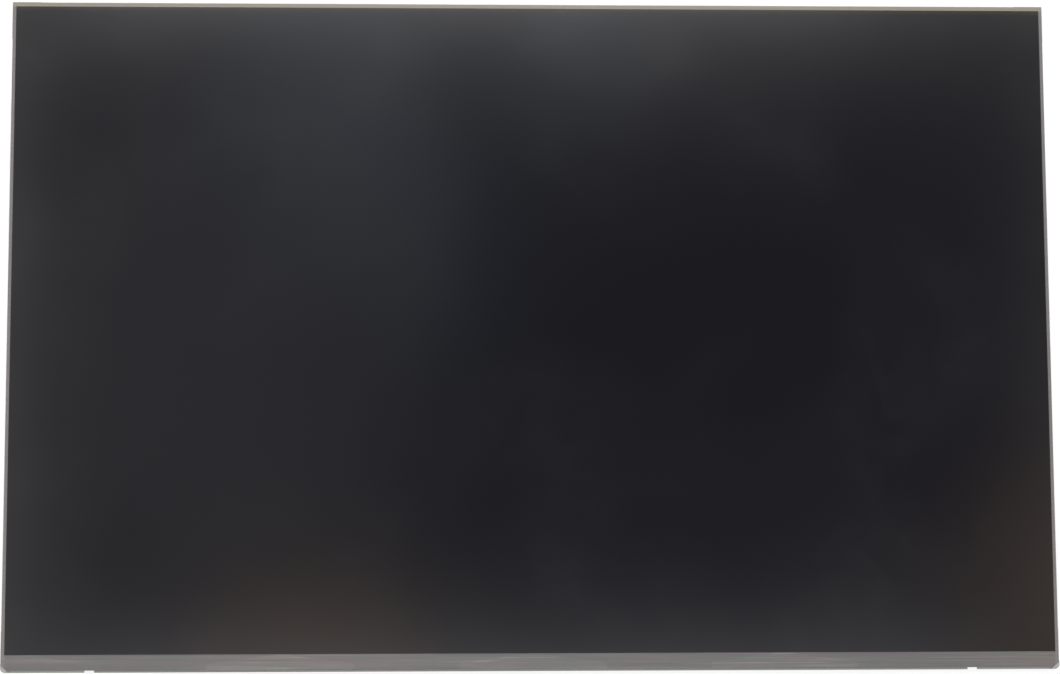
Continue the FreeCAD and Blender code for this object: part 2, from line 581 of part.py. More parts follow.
def make_frame():
    """The moulded ring round the sheets, with solid corners, posts beside the cell and snap hooks on its walls."""
    frame = new_body("mould_frame")
    ring = new_sketch(frame, "ring", PLATE_FRONT)
    outline(ring, *frame_outline())
    outline(ring, frame_window())
    pad(frame, ring, f"({FRAME_FRONT} - {PLATE_FRONT})")

    posts = new_sketch(frame, "posts", FRAME_FRONT)
    post_line = f"({GLASS_RIGHT} - {GLASS_LOWER} - glass_corner_cut + post_clearance)"
    post_left, post_upper = f"({post_line} + {LOWER})", f"({RIGHT} - {post_line})"
    right_post = [(post_left, LOWER), (ROUND_RIGHT, LOWER), (RIGHT, ROUND_UPPER), (RIGHT, post_upper)]
    left_post = [(f"(-{x})", y) for x, y in reversed(right_post)]
    outline(posts, right_post, {1: (ROUND_RIGHT, ROUND_UPPER, 1)})
    outline(posts, left_post, {1: (f"(-{ROUND_RIGHT})", ROUND_UPPER, 1)})
    pad(frame, posts, f"({FRONT_FILM} - post_recess - {FRAME_FRONT})")

    notch = new_sketch(frame, "tail_notch", FRAME_FRONT)
    half_notch = "(tail_width / 2 + tail_clearance)"
    rectangle(notch, f"({TAIL_PLACE} - {half_notch})", f"({BEND} - frame_lower_wall)",
              f"({TAIL_PLACE} + {half_notch})", FLEX_LOWER)
    pocket(frame, notch, f"({FRAME_FRONT} - {GUIDE_FRONT} + tail_drop_clearance)")

    hooks = new_sketch(frame, "hooks", HOOK_REAR)
    tip_right, tip_upper = f"({RIGHT} - hook_recess)", f"({UPPER} - hook_recess)"
    for place in SIDE_HOOK_PLACES:
        lower, upper = f"({place} - hook_length / 2)", f"({place} + hook_length / 2)"
        rectangle(hooks, WALL_RIGHT, lower, tip_right, upper)
        rectangle(hooks, f"(-{tip_right})", lower, f"(-{WALL_RIGHT})", upper)
    for place in UPPER_HOOK_PLACES:
        rectangle(hooks, f"({place} - hook_length / 2)", WALL_UPPER, f"({place} + hook_length / 2)", tip_upper)
    pad(frame, hooks, "hook_height")


def make_back_plate():
    """The stamped plate: folded flanges with windows for the hooks, and a raised panel with beads."""
    plate = new_body("back_plate")
    land = new_sketch(plate, "land", PLATE_REAR)
    cut_right, cut_upper = f"({RIGHT} - plate_corner_cut)", f"({UPPER} - plate_corner_cut)"
    land_lower = f"({BEND} + plate_lower_setback)"
    outline(land, [
        (LEFT, land_lower), (RIGHT, land_lower), (RIGHT, cut_upper), (cut_right, UPPER),
        (f"(-{cut_right})", UPPER), (LEFT, cut_upper),
    ])
    pad(plate, land, "plate_thickness")

    flanges = new_sketch(plate, "flanges", PLATE_REAR)
    flange_lower = f"({LOWER} + lower_block_height + flange_end_gap)"
    flange_upper = f"({UPPER} - corner_block_height - flange_end_gap)"
    flange_right = f"({RIGHT} - corner_block_length - flange_end_gap)"
    rectangle(flanges, f"({RIGHT} - plate_thickness)", flange_lower, RIGHT, flange_upper)
    rectangle(flanges, LEFT, flange_lower, f"({LEFT} + plate_thickness)", flange_upper)
    rectangle(flanges, f"(-{flange_right})", f"({UPPER} - plate_thickness)", flange_right, UPPER)
    pad(plate, flanges, f"({FLANGE_FRONT} - {PLATE_REAR})")

    half_window = "(hook_length / 2 + window_clearance)"
    window_rear = f"({HOOK_REAR} - window_clearance)"
    window_front = f"({HOOK_REAR} + hook_height + window_clearance)"
    for side, role, places in (("side", "YZ_Plane", SIDE_HOOK_PLACES), ("upper", "XZ_Plane", UPPER_HOOK_PLACES)):
        windows = new_sketch(plate, f"{side}_windows", role=role)
        for place in places:
            rectangle(windows, f"({place} - {half_window})", window_rear, f"({place} + {half_window})", window_front)
        pocket(plate, windows)

    raised = new_sketch(plate, "raised_rear", PLATE_REAR)
    rounded_rectangle(raised, f"(-{EMBOSS_RIGHT})", EMBOSS_LOWER, EMBOSS_RIGHT, EMBOSS_UPPER, "emboss_radius")
    pad(plate, raised, "emboss_depth", backwards=True, draft="emboss_draft")
    hollow = new_sketch(plate, "raised_front", PLATE_FRONT)
    hollow_right = f"({EMBOSS_RIGHT} - plate_thickness)"
    rounded_rectangle(hollow, f"(-{hollow_right})", f"({EMBOSS_LOWER} + plate_thickness)", hollow_right,
                      f"({EMBOSS_UPPER} - plate_thickness)", "emboss_radius")
    pocket(plate, hollow, "emboss_depth", draft="emboss_draft")

    grooves = new_sketch(plate, "bead_rear", EMBOSS_REAR)
    ridges = new_sketch(plate, "bead_front", EMBOSS_FRONT)
    bead_right = f"({EMBOSS_RIGHT} - bead_margin)"
    for step in (-1, 0, 1):
        middle = f"(({EMBOSS_LOWER} + {EMBOSS_UPPER}) / 2 + {step} * bead_spacing)"
        for drawing, growth in ((grooves, "0"), (ridges, "plate_thickness")):
            half, right = f"(bead_width / 2 + {growth})", f"({bead_right} + {growth})"
            rounded_rectangle(drawing, f"(-{right})", f"({middle} - {half})", right, f"({middle} + {half})",
                              f"(bead_radius + {growth})")
    pad(plate, ridges, "bead_depth")
    pocket(plate, grooves, "bead_depth", backwards=True)

    holes = new_sketch(plate, "jig_holes", PLATE_FRONT)
    for side in ("", "-"):
        circle(holes, f"({side}({RIGHT} - jig_hole_inset))", f"({LOWER} + jig_hole_height)", "jig_hole")
    pocket(plate, holes, "plate_thickness")
    round_folds(plate)


def round_folds(plate):
    """Round the plate's rear edges along its three folds."""
    doc.recompute()
    rear, right, upper = now(PLATE_REAR), now(RIGHT), now(UPPER)
    stamped = plate.Tip
    folds = []
    for number, edge in enumerate(stamped.Shape.Edges, start=1):
        middle = edge.CenterOfMass
        on_side = math.isclose(abs(middle.x), right, abs_tol=1e-6)
        on_upper = math.isclose(middle.y, upper, abs_tol=1e-6)
        if math.isclose(middle.z, rear, abs_tol=1e-6) and (on_side or on_upper):
            folds.append(f"Edge{number}")
    fillet = plate.newObject("PartDesign::Fillet", "back_plate_folds")
    fillet.Base = (stamped, folds)
    fillet.setExpression("Radius", bound("fold_radius"))


def make_driver_films():
    """Four driver films from the front glass round the lower edge to the board, each with its chip behind."""
    for number, step in enumerate((-1.5, -0.5, 0.5, 1.5), start=1):
        place = f"({step} * {FILM_STEP})"
        film = new_body(f"source_film_{number}")
        drawing = new_sketch(film, "bend", place, "YZ_Plane")
        bend_outline(drawing, f"({GLASS_LOWER} + film_bond)", FILM_END, FRONT_GLASS, BOARD_FRONT, "film_thickness")
        pad(film, drawing, "film_width", both_ways=True)
        low = (f"({place} - driver_length / 2)", DRIVER_LOWER, DRIVER_REAR)
        high = (f"({place} + driver_length / 2)", f"({DRIVER_LOWER} + driver_width)", BOARD_FRONT)
        sub_parts.append(block(f"source_chip_{number}", low, high))


def make_guard_tape():
    """The grey tape outside the films' bend, trimmed in front along the glass."""
    tape = new_body("guard_tape")
    drawing = new_sketch(tape, "bend", role="YZ_Plane")
    leg_end = f"({BEND} + guard_leg)"
    bend_outline(drawing, leg_end, leg_end, GUARD_FRONT, GUARD_REAR, "guard_thickness")
    pad(tape, drawing, f"(2 * {GUARD_RIGHT})", both_ways=True)
    trim = new_sketch(tape, "trim", role="YZ_Plane")
    rectangle(trim, f"({GLASS_LOWER} - guard_glass_gap)", BEND_LEVEL, f"({leg_end} + guard_leg)", FRONT_FILM)
    pocket(tape, trim)


def make_board():
    """The narrow circuit board, wider in its middle, and the tape that holds it on the plate."""
    board = new_body("control_board")
    drawing = new_sketch(board, "outline", BOARD_REAR)
    end_upper = f"({BOARD_LOWER} + board_end_width)"
    slope = "(board_width - board_end_width)"
    left_step, right_step = f"({TAIL_PLACE} - board_left_reach)", f"({EDP_PLACE} + board_right_reach)"
    outline(drawing, [
        (f"(-{BOARD_RIGHT})", BOARD_LOWER), (BOARD_RIGHT, BOARD_LOWER), (BOARD_RIGHT, end_upper),
        (f"({right_step} + {slope})", end_upper), (right_step, BOARD_UPPER), (left_step, BOARD_UPPER),
        (f"({left_step} - {slope})", end_upper), (f"(-{BOARD_RIGHT})", end_upper),
    ])
    pad(board, drawing, "board_thickness")
    holes = new_sketch(board, "holes", BOARD_FRONT)
    for side in ("", "-"):
        hole_place = f"({side}({BOARD_RIGHT} - board_hole_inset))"
        circle(holes, hole_place, f"({BOARD_LOWER} + board_hole_height)", "board_hole")
    pocket(board, holes, "board_thickness")

    tape_right = f"({BOARD_RIGHT} - board_tape_end)"
    low = (f"(-{tape_right})", f"({FILM_END} + board_tape_edge)", BOARD_FRONT)
    high = (tape_right, f"({end_upper} - board_tape_edge)", PLATE_REAR)
    sub_parts.append(block("board_tape", low, high))


def make_receptacle():
    """The display receptacle: an insulator open towards the lower edge, a steel shell and a row of contacts."""
    housing = new_body("edp_housing")
    walls = new_sketch(housing, "walls", "shell_thickness")
    inner_left, inner_right = f"({EDP_LEFT} + edp_arm)", f"({EDP_RIGHT} - edp_arm)"
    outline(walls, [
        (EDP_LEFT, EDP_MOUTH), (inner_left, EDP_MOUTH), (inner_left, EDP_WALL), (inner_right, EDP_WALL),
        (inner_right, EDP_MOUTH), (EDP_RIGHT, EDP_MOUTH), (EDP_RIGHT, EDP_BACK), (EDP_LEFT, EDP_BACK),
    ])
    pad(housing, walls, f"({BOARD_REAR} - shell_thickness)")
    tongue = new_sketch(housing, "tongue", CONTACT_FRONT)
    tongue_edge = f"({EDP_MOUTH} + edp_floor_setback)"
    rectangle(tongue, inner_left, tongue_edge, inner_right, EDP_WALL)
    pad(housing, tongue, "edp_floor")
    slit = new_sketch(housing, "slit", CONTACT_FRONT)
    half_slit = f"(({CONTACT_SPAN} + contact_pitch) / 2)"
    rectangle(slit, f"({EDP_PLACE} - {half_slit})", EDP_WALL, f"({EDP_PLACE} + {half_slit})", EDP_BACK)
    pocket(housing, slit, "contact_thickness")

    shell = new_body("edp_shell")
    shell_left, shell_right = f"({EDP_LEFT} - shell_thickness)", f"({EDP_RIGHT} + shell_thickness)"
    shell_back = f"({EDP_BACK} - shell_lip)"
    top = new_sketch(shell, "top")
    rectangle(top, shell_left, EDP_MOUTH, shell_right, shell_back)
    pad(shell, top, "shell_thickness")
    skirts = new_sketch(shell, "skirts")
    rectangle(skirts, shell_left, EDP_MOUTH, EDP_LEFT, shell_back)
    rectangle(skirts, EDP_RIGHT, EDP_MOUTH, shell_right, shell_back)
    pad(shell, skirts, BOARD_REAR)
    windows = new_sketch(shell, "windows", "shell_thickness")
    window_middle = f"(({EDP_MOUTH} + {EDP_WALL}) / 2)"
    for step in (-1, 0, 1):
        place = f"({EDP_PLACE} + {step} * shell_window_spacing)"
        rectangle(windows, f"({place} - shell_window / 2)", f"({window_middle} - shell_window / 2)",
                  f"({place} + shell_window / 2)", f"({window_middle} + shell_window / 2)")
    pocket(shell, windows, "shell_thickness")

    contacts = new_body("edp_contacts")
    strip = new_sketch(contacts, "first", f"({EDP_PLACE} - {CONTACT_SPAN} / 2)", "YZ_Plane")
    tip = f"({tongue_edge} + contact_setback)"
    contact_rear = f"({CONTACT_FRONT} - contact_thickness)"
    tail_rear = f"({BOARD_REAR} - contact_thickness)"
    step_front, step_rear = f"({EDP_BACK} + contact_thickness)", f"({EDP_BACK} + 2 * contact_thickness)"
    outline(strip, [
        (tip, CONTACT_FRONT), (step_front, CONTACT_FRONT), (step_front, BOARD_REAR), (CONTACT_END, BOARD_REAR),
        (CONTACT_END, tail_rear), (step_rear, tail_rear), (step_rear, contact_rear), (tip, contact_rear),
    ])
    first = pad(contacts, strip, "contact_width", both_ways=True)
    repeat(contacts, first, "N_Axis", CONTACT_SPAN, "contact_count")


def make_components():
    """Chip packages, inductors, and rows of capacitors and resistors on the board's rear face."""
    for label, (side, place) in PACKAGES.items():
        sub_parts.append(component(label, place, BOARD_MIDDLE, side, side, "package_height"))

    inductors = []
    for chip, number in (("backlight_chip", 1), ("power_chip", 2)):
        side, place = PACKAGES[chip]
        for count in range(number):
            step = f"({count} * (inductor_side + inductor_gap))"
            centre = f"({place} - {side} / 2 - inductor_gap - inductor_side / 2 - {step})"
            label = f"inductor_{len(inductors) + 1}"
            inductors.append(
                component(label, centre, BOARD_MIDDLE, "inductor_side", "inductor_side", "component_height")
            )
    group("power_inductors", inductors)

    for kind, beside_row, node in (
        ("capacitor", "outer_row", "chip_capacitors"),
        ("resistor", "inner_row", "chip_resistors"),
    ):
        starts = []
        for chip in CHIPS_WITH_ROWS:
            side, place = PACKAGES[chip]
            starts.append((f"({place} + {side} / 2 + row_gap)", 1, beside_row))
        starts.append((f"(end_{kind}_inset - {BOARD_RIGHT})", 1, "end_row"))
        starts.append((f"({BOARD_RIGHT} - end_{kind}_inset)", -1, "end_row"))
        pieces = []
        for start, way, row in starts:
            for count in range(VALUES[f"{kind}_row"]):
                centre = f"({start} + {way * count} * {kind}_pitch)"
                label = f"{kind}_{len(pieces) + 1}"
                sizes = (f"{kind}_length", f"{kind}_width", f"{kind}_height")
                pieces.append(component(label, centre, f"({BOARD_LOWER} + {row})", *sizes))
        group(node, pieces)


def make_cover():
    """The clear film over the board, glued above it and along the guard tape, and cut out at the receptacle."""
    cover = new_body("cover_film")
    section = new_sketch(cover, "section", role="YZ_Plane")
    outline(section, [
        (COVER_UPPER, PLATE_REAR), (COVER_BROW, PLATE_REAR), (COVER_FOOT, "cover_thickness"),
        (COVER_HEEL, "cover_thickness"), (COVER_CHIN, GUARD_REAR), (COVER_LOWER, GUARD_REAR),
        (COVER_LOWER, f"({GUARD_REAR} - cover_thickness)"),
        (f"({COVER_CHIN} - cover_thickness)", f"({GUARD_REAR} - cover_thickness)"),
        (f"({COVER_HEEL} - cover_thickness)", "0"), (COVER_FOOT, "0"),
        (COVER_BROW, f"({PLATE_REAR} - cover_thickness)"), (COVER_UPPER, f"({PLATE_REAR} - cover_thickness)"),
    ])
    pad(cover, section, f"(2 * {COVER_RIGHT})", both_ways=True)
    cut = new_sketch(cover, "receptacle_cut", PLATE_REAR)
    half_cut = "(edp_length / 2 + shell_thickness + cover_cut_margin)"
    rectangle(cut, f"({EDP_PLACE} - {half_cut})", f"({COVER_LOWER} - cover_cut_margin)",
              f"({EDP_PLACE} + {half_cut})", f"({CONTACT_END} + cover_cut_margin)")
    pocket(cover, cut, PLATE_REAR)


make_cell()
make_backlight_sheets()
make_light_row()
make_frame()
make_back_plate()
make_driver_films()
make_guard_tape()
make_board()
make_receptacle()
make_components()
make_cover()
doc.recompute()

failed = [item.Label for item in doc.Objects if "Invalid" in item.State or "Error" in item.State]
failed += [piece.Label for piece in sub_parts if piece.Shape.isNull() or not piece.Shape.isValid()]
if failed:
    raise RuntimeError(f"these did not build: {failed}")

os.makedirs("parts", exist_ok=True)
for piece in sub_parts:
    piece.Shape.exportStep(f"parts/{piece.Label}.step")
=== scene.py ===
import math

import bmesh
import bpy
from mathutils import Matrix, Vector


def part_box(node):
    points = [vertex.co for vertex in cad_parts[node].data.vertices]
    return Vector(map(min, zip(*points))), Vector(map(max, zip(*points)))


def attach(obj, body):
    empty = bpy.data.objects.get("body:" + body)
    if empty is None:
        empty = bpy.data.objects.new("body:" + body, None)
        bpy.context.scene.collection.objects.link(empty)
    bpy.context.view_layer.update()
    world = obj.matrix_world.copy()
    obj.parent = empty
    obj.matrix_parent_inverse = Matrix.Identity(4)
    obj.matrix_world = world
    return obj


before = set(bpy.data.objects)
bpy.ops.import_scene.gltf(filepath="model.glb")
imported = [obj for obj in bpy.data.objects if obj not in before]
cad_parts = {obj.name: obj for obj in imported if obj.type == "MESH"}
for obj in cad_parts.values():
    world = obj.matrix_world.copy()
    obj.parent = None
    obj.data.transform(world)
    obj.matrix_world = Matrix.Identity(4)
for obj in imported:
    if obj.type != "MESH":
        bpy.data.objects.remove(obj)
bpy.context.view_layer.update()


# The back plate is the stamped aluminium tray that carries the backlight, with a raised panel and three
# beads pressed into its floor. Its cold-rolled grain runs from side to side, and handling leaves dull marks.
def node(tree, kind, inputs=None, **settings):
    """A shader node; an input takes a plain value or the output that feeds it."""
    made = tree.nodes.new("ShaderNode" + kind)
    for name, value in settings.items():
        setattr(made, name, value)
    for socket, value in (inputs or {}).items():
        if isinstance(value, bpy.types.NodeSocket):
            tree.links.new(value, made.inputs[socket])
        else:
            made.inputs[socket].default_value = value
    return made


def calc(tree, operation, *values):
    """The result of a sum on values, plain or from other nodes."""
    return node(tree, "Math", dict(enumerate(values)), operation=operation).outputs[0]


def plus(tree, base, mask, times):
    """The base value plus the mask times a number."""
    return calc(tree, "MULTIPLY_ADD", mask, times, base)


def spread(tree, value, low, high, start=0.0, end=1.0, curve="SMOOTHSTEP"):
    """A value that goes from start to end while the given one goes from low to high."""
    limits = {"Value": value, "From Min": low, "From Max": high, "To Min": start, "To Max": end}
    return node(tree, "MapRange", limits, interpolation_type=curve).outputs["Result"]


GRAIN_SPAN = (0.3, 0.7)


def graded(tree, grain, start=0.0, end=1.0):
    """A value that goes from start to end over the span in which most of a grain lies."""
    return spread(tree, grain, *GRAIN_SPAN, start, end)


def tint(tree, mask, first, second, most=None):
    """The first colour where the mask is 0, and the second, or most of it, where it is 1."""
    share = mask if most is None else calc(tree, "MULTIPLY", mask, most)
    return node(tree, "Mix", {0: share, 6: first, 7: second}, data_type="RGBA").outputs[2]


def relief(tree, height, depth):
    """Normals of a surface whose height changes by depth, in metres."""
    return node(tree, "Bump", {"Strength": 1.0, "Distance": depth, "Height": height}).outputs["Normal"]


def place_on(tree):
    """The surface's place in the panel's frame."""
    return node(tree, "TexCoord").outputs["Object"]


def new_finish(name, values):
    """A material with one shader, which takes its plain values by socket name."""
    material = bpy.data.materials.new(name)
    material.use_nodes = True
    shader = material.node_tree.nodes["Principled BSDF"]
    for socket, value in values.items():
        shader.inputs[socket].default_value = value
    return material, material.node_tree, shader


def feed(tree, shader, sources):
    """Links the outputs to the shader's sockets of those names."""
    for socket, output in sources.items():
        tree.links.new(output, shader.inputs[socket])


def dress(material, *names):
    """Gives the solids of those names the material."""
    for name in names:
        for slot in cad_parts[name].material_slots:
            slot.material = material


def new_group(name, inputs, outputs):
    """An empty shader node group with named sockets."""
    group = bpy.data.node_groups.new(name, "ShaderNodeTree")
    for socket, kind in inputs.items():
        group.interface.new_socket(socket, in_out="INPUT", socket_type=kind)
    for socket, kind in outputs.items():
        group.interface.new_socket(socket, in_out="OUTPUT", socket_type=kind)
    return group, group.nodes.new("NodeGroupInput").outputs, group.nodes.new("NodeGroupOutput").inputs


fine_grain, given, result = new_group(
    "fine_grain", {"Stretch": "NodeSocketVector"}, {"Grain": "NodeSocketFloat"}
)
factors = {0: place_on(fine_grain), 1: given["Stretch"]}
stretched = node(fine_grain, "VectorMath", factors, operation="MULTIPLY").outputs[0]
grain = node(fine_grain, "TexNoise", {"Vector": stretched, "Scale": 1.0, "Detail": 3.0}).outputs[0]
fine_grain.links.new(grain, result["Grain"])

SMEARS_IN_PATCH = 6.0
PATCH_EDGE = (0.42, 0.7)
handling_marks, given, result = new_group(
    "handling_marks", {"Scale": "NodeSocketFloat"}, {"Marks": "NodeSocketFloat"}
)
place = place_on(handling_marks)
broad = node(handling_marks, "TexNoise", {"Vector": place, "Scale": given["Scale"], "Detail": 2.0}).outputs[0]
finer = calc(handling_marks, "MULTIPLY", given["Scale"], SMEARS_IN_PATCH)
smears = node(handling_marks, "TexNoise", {"Vector": place, "Scale": finer, "Distortion": 1.5}).outputs[0]
patches = calc(handling_marks, "MULTIPLY", spread(handling_marks, broad, *PATCH_EDGE), smears)
handling_marks.links.new(patches, result["Marks"])


def grain_of(tree, per_metre):
    """A fine grain, with that many grains in a metre along x, y and z."""
    return node(tree, "Group", {"Stretch": per_metre}, node_tree=fine_grain).outputs["Grain"]


def marks_of(tree, per_metre):
    """A mask of smeared patches, with that many patches in a metre."""
    return node(tree, "Group", {"Scale": per_metre}, node_tree=handling_marks).outputs["Marks"]


ROLLED_DARK = (0.56, 0.57, 0.58, 1)
ROLLED_LIGHT = (0.64, 0.65, 0.655, 1)
ROLLED_RELIEF = 0.5e-6
MARK_GREY = (0.47, 0.475, 0.48, 1)
MARK_DULLING = 0.12
SCRATCH_BRIGHT = (0.86, 0.86, 0.86, 1)
SCRATCH_SPAN = (0.74, 0.8)
SCRATCH_SINK = -0.6
SCRATCH_POLISH = -0.08
plate, tree, shader = new_finish("plate_metal", {"Metallic": 1.0})
rolled = grain_of(tree, per_metre=(45.0, 5200.0, 2600.0))
slanted = node(tree, "Mapping", {
    "Vector": place_on(tree), "Rotation": (0.0, 0.0, 0.6), "Scale": (28.0, 5200.0, 1.0),
}).outputs["Vector"]
streaks = node(tree, "TexNoise", {"Vector": slanted, "Scale": 1.0, "Detail": 1.0}).outputs[0]
scratches = spread(tree, streaks, *SCRATCH_SPAN)
marks = marks_of(tree, per_metre=22.0)
metal = tint(tree, graded(tree, rolled), ROLLED_DARK, ROLLED_LIGHT)
metal = tint(tree, marks, metal, MARK_GREY, most=0.35)
dulled = plus(tree, spread(tree, rolled, 0.25, 0.75, 0.30, 0.38), marks, MARK_DULLING)
feed(tree, shader, {
    "Base Color": tint(tree, scratches, metal, SCRATCH_BRIGHT, most=0.45),
    "Roughness": plus(tree, dulled, scratches, SCRATCH_POLISH),
    "Normal": relief(tree, plus(tree, rolled, scratches, SCRATCH_SINK), ROLLED_RELIEF),
})
dress(plate, "back_plate")


# The frame is a thin moulding of pale grey polycarbonate that sits in the plate and locates the sheets, the
# light guide and the cell. Its spark-eroded surface is matt, and hooks hold it in the flanges' windows.
def grained(name, dark, light, stretch, roughness, depth, values=None):
    """A finish whose colour, gloss and surface follow one fine grain, dulled by handling marks."""
    material, tree, shader = new_finish(name, values or {})
    grain = grain_of(tree, stretch)
    marks = marks_of(tree, per_metre=45.0)
    feed(tree, shader, {
        "Base Color": tint(tree, graded(tree, grain), dark, light),
        "Roughness": plus(tree, graded(tree, grain, *roughness), marks, MARK_DULLING),
        "Normal": relief(tree, grain, depth),
    })
    return material


frame_plastic = grained(
    "frame_plastic", dark=(0.32, 0.314, 0.303, 1), light=(0.40, 0.392, 0.380, 1),
    stretch=(4200.0, 4200.0, 4200.0), roughness=(0.42, 0.56), depth=3e-6,
)
dress(frame_plastic, "mould_frame")


# The reflector is a white foamed polyester sheet, laid loose on the plate under the light guide.
# Its skin is satin and slightly cloudy from the foam.
white_reflector = grained(
    "white_reflector", dark=(0.82, 0.83, 0.84, 1), light=(0.90, 0.90, 0.90, 1),
    stretch=(900.0, 900.0, 900.0), roughness=(0.32, 0.45), depth=2e-6,
)
dress(white_reflector, "reflector_sheet")


# The light guide is a clear acrylic plate. White dots on its rear, denser away from the diodes, send the
# light out through its front.
MM = 0.001


def axes(tree, output="Object"):
    """The surface's x, y and z, of its place or of its normal."""
    return node(tree, "SeparateXYZ", {0: node(tree, "TexCoord").outputs[output]}).outputs


ACRYLIC = (0.62, 0.70, 0.73, 1)
DOT_WHITE = (0.92, 0.93, 0.93, 1)
GUIDE_ENDS = (-95 * MM, 97 * MM)
DOT_REACH = (0.16, 0.34)
guide, tree, shader = new_finish("light_guide", {"Roughness": 0.12, "IOR": 1.49})
pattern = {"Vector": place_on(tree), "Scale": 2600.0, "Randomness": 0.55}
from_dot = node(tree, "TexVoronoi", pattern).outputs["Distance"]
reach = spread(tree, axes(tree)["Y"], *GUIDE_ENDS, *DOT_REACH, "LINEAR")
printed = calc(tree, "LESS_THAN", from_dot, reach)
feed(tree, shader, {"Base Color": tint(tree, printed, ACRYLIC, DOT_WHITE)})
dress(guide, "light_guide_plate")


# The diffuser and the two crossed prism sheets are polyester films that spread the light and turn it
# forward. The prisms are fine ridges, one sheet's along the panel and the other's across it.
LINE_BLUR = 0.12
fine_lines, given, result = new_group(
    "fine_lines",
    {"Across": "NodeSocketFloat", "Pitch": "NodeSocketFloat", "Width": "NodeSocketFloat"},
    {"Lines": "NodeSocketFloat"},
)
turns = calc(fine_lines, "DIVIDE", given["Across"], given["Pitch"])
from_line = calc(fine_lines, "MULTIPLY", calc(fine_lines, "PINGPONG", turns, 0.5), 2.0)
inner = calc(fine_lines, "SUBTRACT", given["Width"], LINE_BLUR)
outer = calc(fine_lines, "ADD", given["Width"], LINE_BLUR)
fine_lines.links.new(spread(fine_lines, from_line, inner, outer, 1.0, 0.0), result["Lines"])


def lines_of(tree, across, pitch, width=0.5):
    """A mask of even lines, which are width of the pitch wide."""
    values = {"Across": across, "Pitch": pitch, "Width": width}
    return node(tree, "Group", values, node_tree=fine_lines).outputs["Lines"]


PRISM_PITCH = 0.05 * MM
PRISM_RELIEF = 6e-6
VALLEY = (0.66, 0.69, 0.73, 1)
RIDGE = (0.80, 0.82, 0.84, 1)
for name, direction in (("lower_prism_sheet", "X"), ("upper_prism_sheet", "Y")):
    ridged, tree, shader = new_finish(name, {"Roughness": 0.22})
    ridges = lines_of(tree, axes(tree)[direction], PRISM_PITCH)
    feed(tree, shader, {
        "Base Color": tint(tree, ridges, VALLEY, RIDGE),
        "Normal": relief(tree, ridges, PRISM_RELIEF),
    })
    dress(ridged, name)
diffuser = grained(
    "diffuser_film", dark=(0.80, 0.82, 0.83, 1), light=(0.88, 0.89, 0.90, 1),
    stretch=(7000.0, 7000.0, 7000.0), roughness=(0.45, 0.6), depth=3e-6,
)
dress(diffuser, "diffuser_sheet")


# The light row is forty side-firing diodes soldered to a strip of amber polyimide with copper lines.
# Each has a white moulded body and a yellow phosphor window towards the light guide.
BODY_DARK = (0.74, 0.74, 0.72, 1)
BODY_LIGHT = (0.84, 0.84, 0.82, 1)
PHOSPHOR_DARK = (0.72, 0.58, 0.10, 1)
PHOSPHOR_LIGHT = (0.85, 0.74, 0.22, 1)
led_body, tree, shader = new_finish("led_body", {"Roughness": 0.4})
to_guide = spread(tree, axes(tree, "Normal")["Y"], 0.5, 0.6)
cloud = grain_of(tree, per_metre=(9000.0, 9000.0, 9000.0))
body_white = tint(tree, cloud, BODY_DARK, BODY_LIGHT)
phosphor = tint(tree, cloud, PHOSPHOR_DARK, PHOSPHOR_LIGHT)
feed(tree, shader, {"Base Color": tint(tree, to_guide, body_white, phosphor)})
dress(led_body, "led_chips")

POLYIMIDE_DARK = (0.24, 0.095, 0.016, 1)
POLYIMIDE_LIGHT = (0.33, 0.145, 0.028, 1)
COVERED_COPPER = (0.43, 0.23, 0.075, 1)
COPPER_RELIEF = 2.5e-6


def amber_circuit(name, direction, pitch):
    """Polyimide film with copper lines under it, across the given direction."""
    values = {"Roughness": 0.34, "Coat Weight": 0.35, "Coat Roughness": 0.15}
    material, tree, shader = new_finish(name, values)
    copper = lines_of(tree, axes(tree)[direction], pitch)
    cloud = grain_of(tree, per_metre=(700.0, 2600.0, 2600.0))
    film = tint(tree, cloud, POLYIMIDE_DARK, POLYIMIDE_LIGHT)
    feed(tree, shader, {
        "Base Color": tint(tree, copper, film, COVERED_COPPER, most=0.75),
        "Roughness": spread(tree, copper, 0.0, 1.0, 0.38, 0.26),
        "Normal": relief(tree, copper, COPPER_RELIEF),
    })
    return material


STRIP_LINE_PITCH = 0.6 * MM
dress(amber_circuit("amber_strip", "Y", STRIP_LINE_PITCH), "led_flex")


# The rim tape is a black double-sided polyester tape, die-cut to a ring. It fixes the cell to the frame and
# stops stray light at the rim.
rim_tape = grained(
    "black_tape", dark=(0.008, 0.008, 0.009, 1), light=(0.02, 0.02, 0.021, 1),
    stretch=(2500.0, 2500.0, 2500.0), roughness=(0.5, 0.65), depth=2e-6,
)
dress(rim_tape, "rim_tape")


# The cell is two glasses 0.25 mm thick, sealed round the liquid crystal. The rear one carries the colour
# filters. The front one is larger, and its bare margins show the thin-film wiring that fans out to the
# drivers, with pale glints painted into their colour as highlights.
def on_faces(tree):
    """A mask that is 1 on a sheet's two faces and 0 on its cut edges."""
    return spread(tree, calc(tree, "ABSOLUTE", axes(tree, "Normal")["Z"]), 0.4, 0.6)


MASK_DARK = (0.018, 0.02, 0.022, 1)
MASK_LIGHT = (0.03, 0.032, 0.034, 1)
CUT_DARK = (0.075, 0.12, 0.105, 1)
CUT_LIGHT = (0.12, 0.17, 0.15, 1)
values = {"Roughness": 0.12, "Coat Weight": 0.5, "Coat Roughness": 0.03}
colour_glass, tree, shader = new_finish("filter_glass", values)
cloud = grain_of(tree, per_metre=(3000.0, 3000.0, 3000.0))
dark_face = tint(tree, cloud, MASK_DARK, MASK_LIGHT)
cut_edge = tint(tree, cloud, CUT_DARK, CUT_LIGHT)
feed(tree, shader, {"Base Color": tint(tree, on_faces(tree), cut_edge, dark_face)})
dress(colour_glass, "colour_filter_glass")

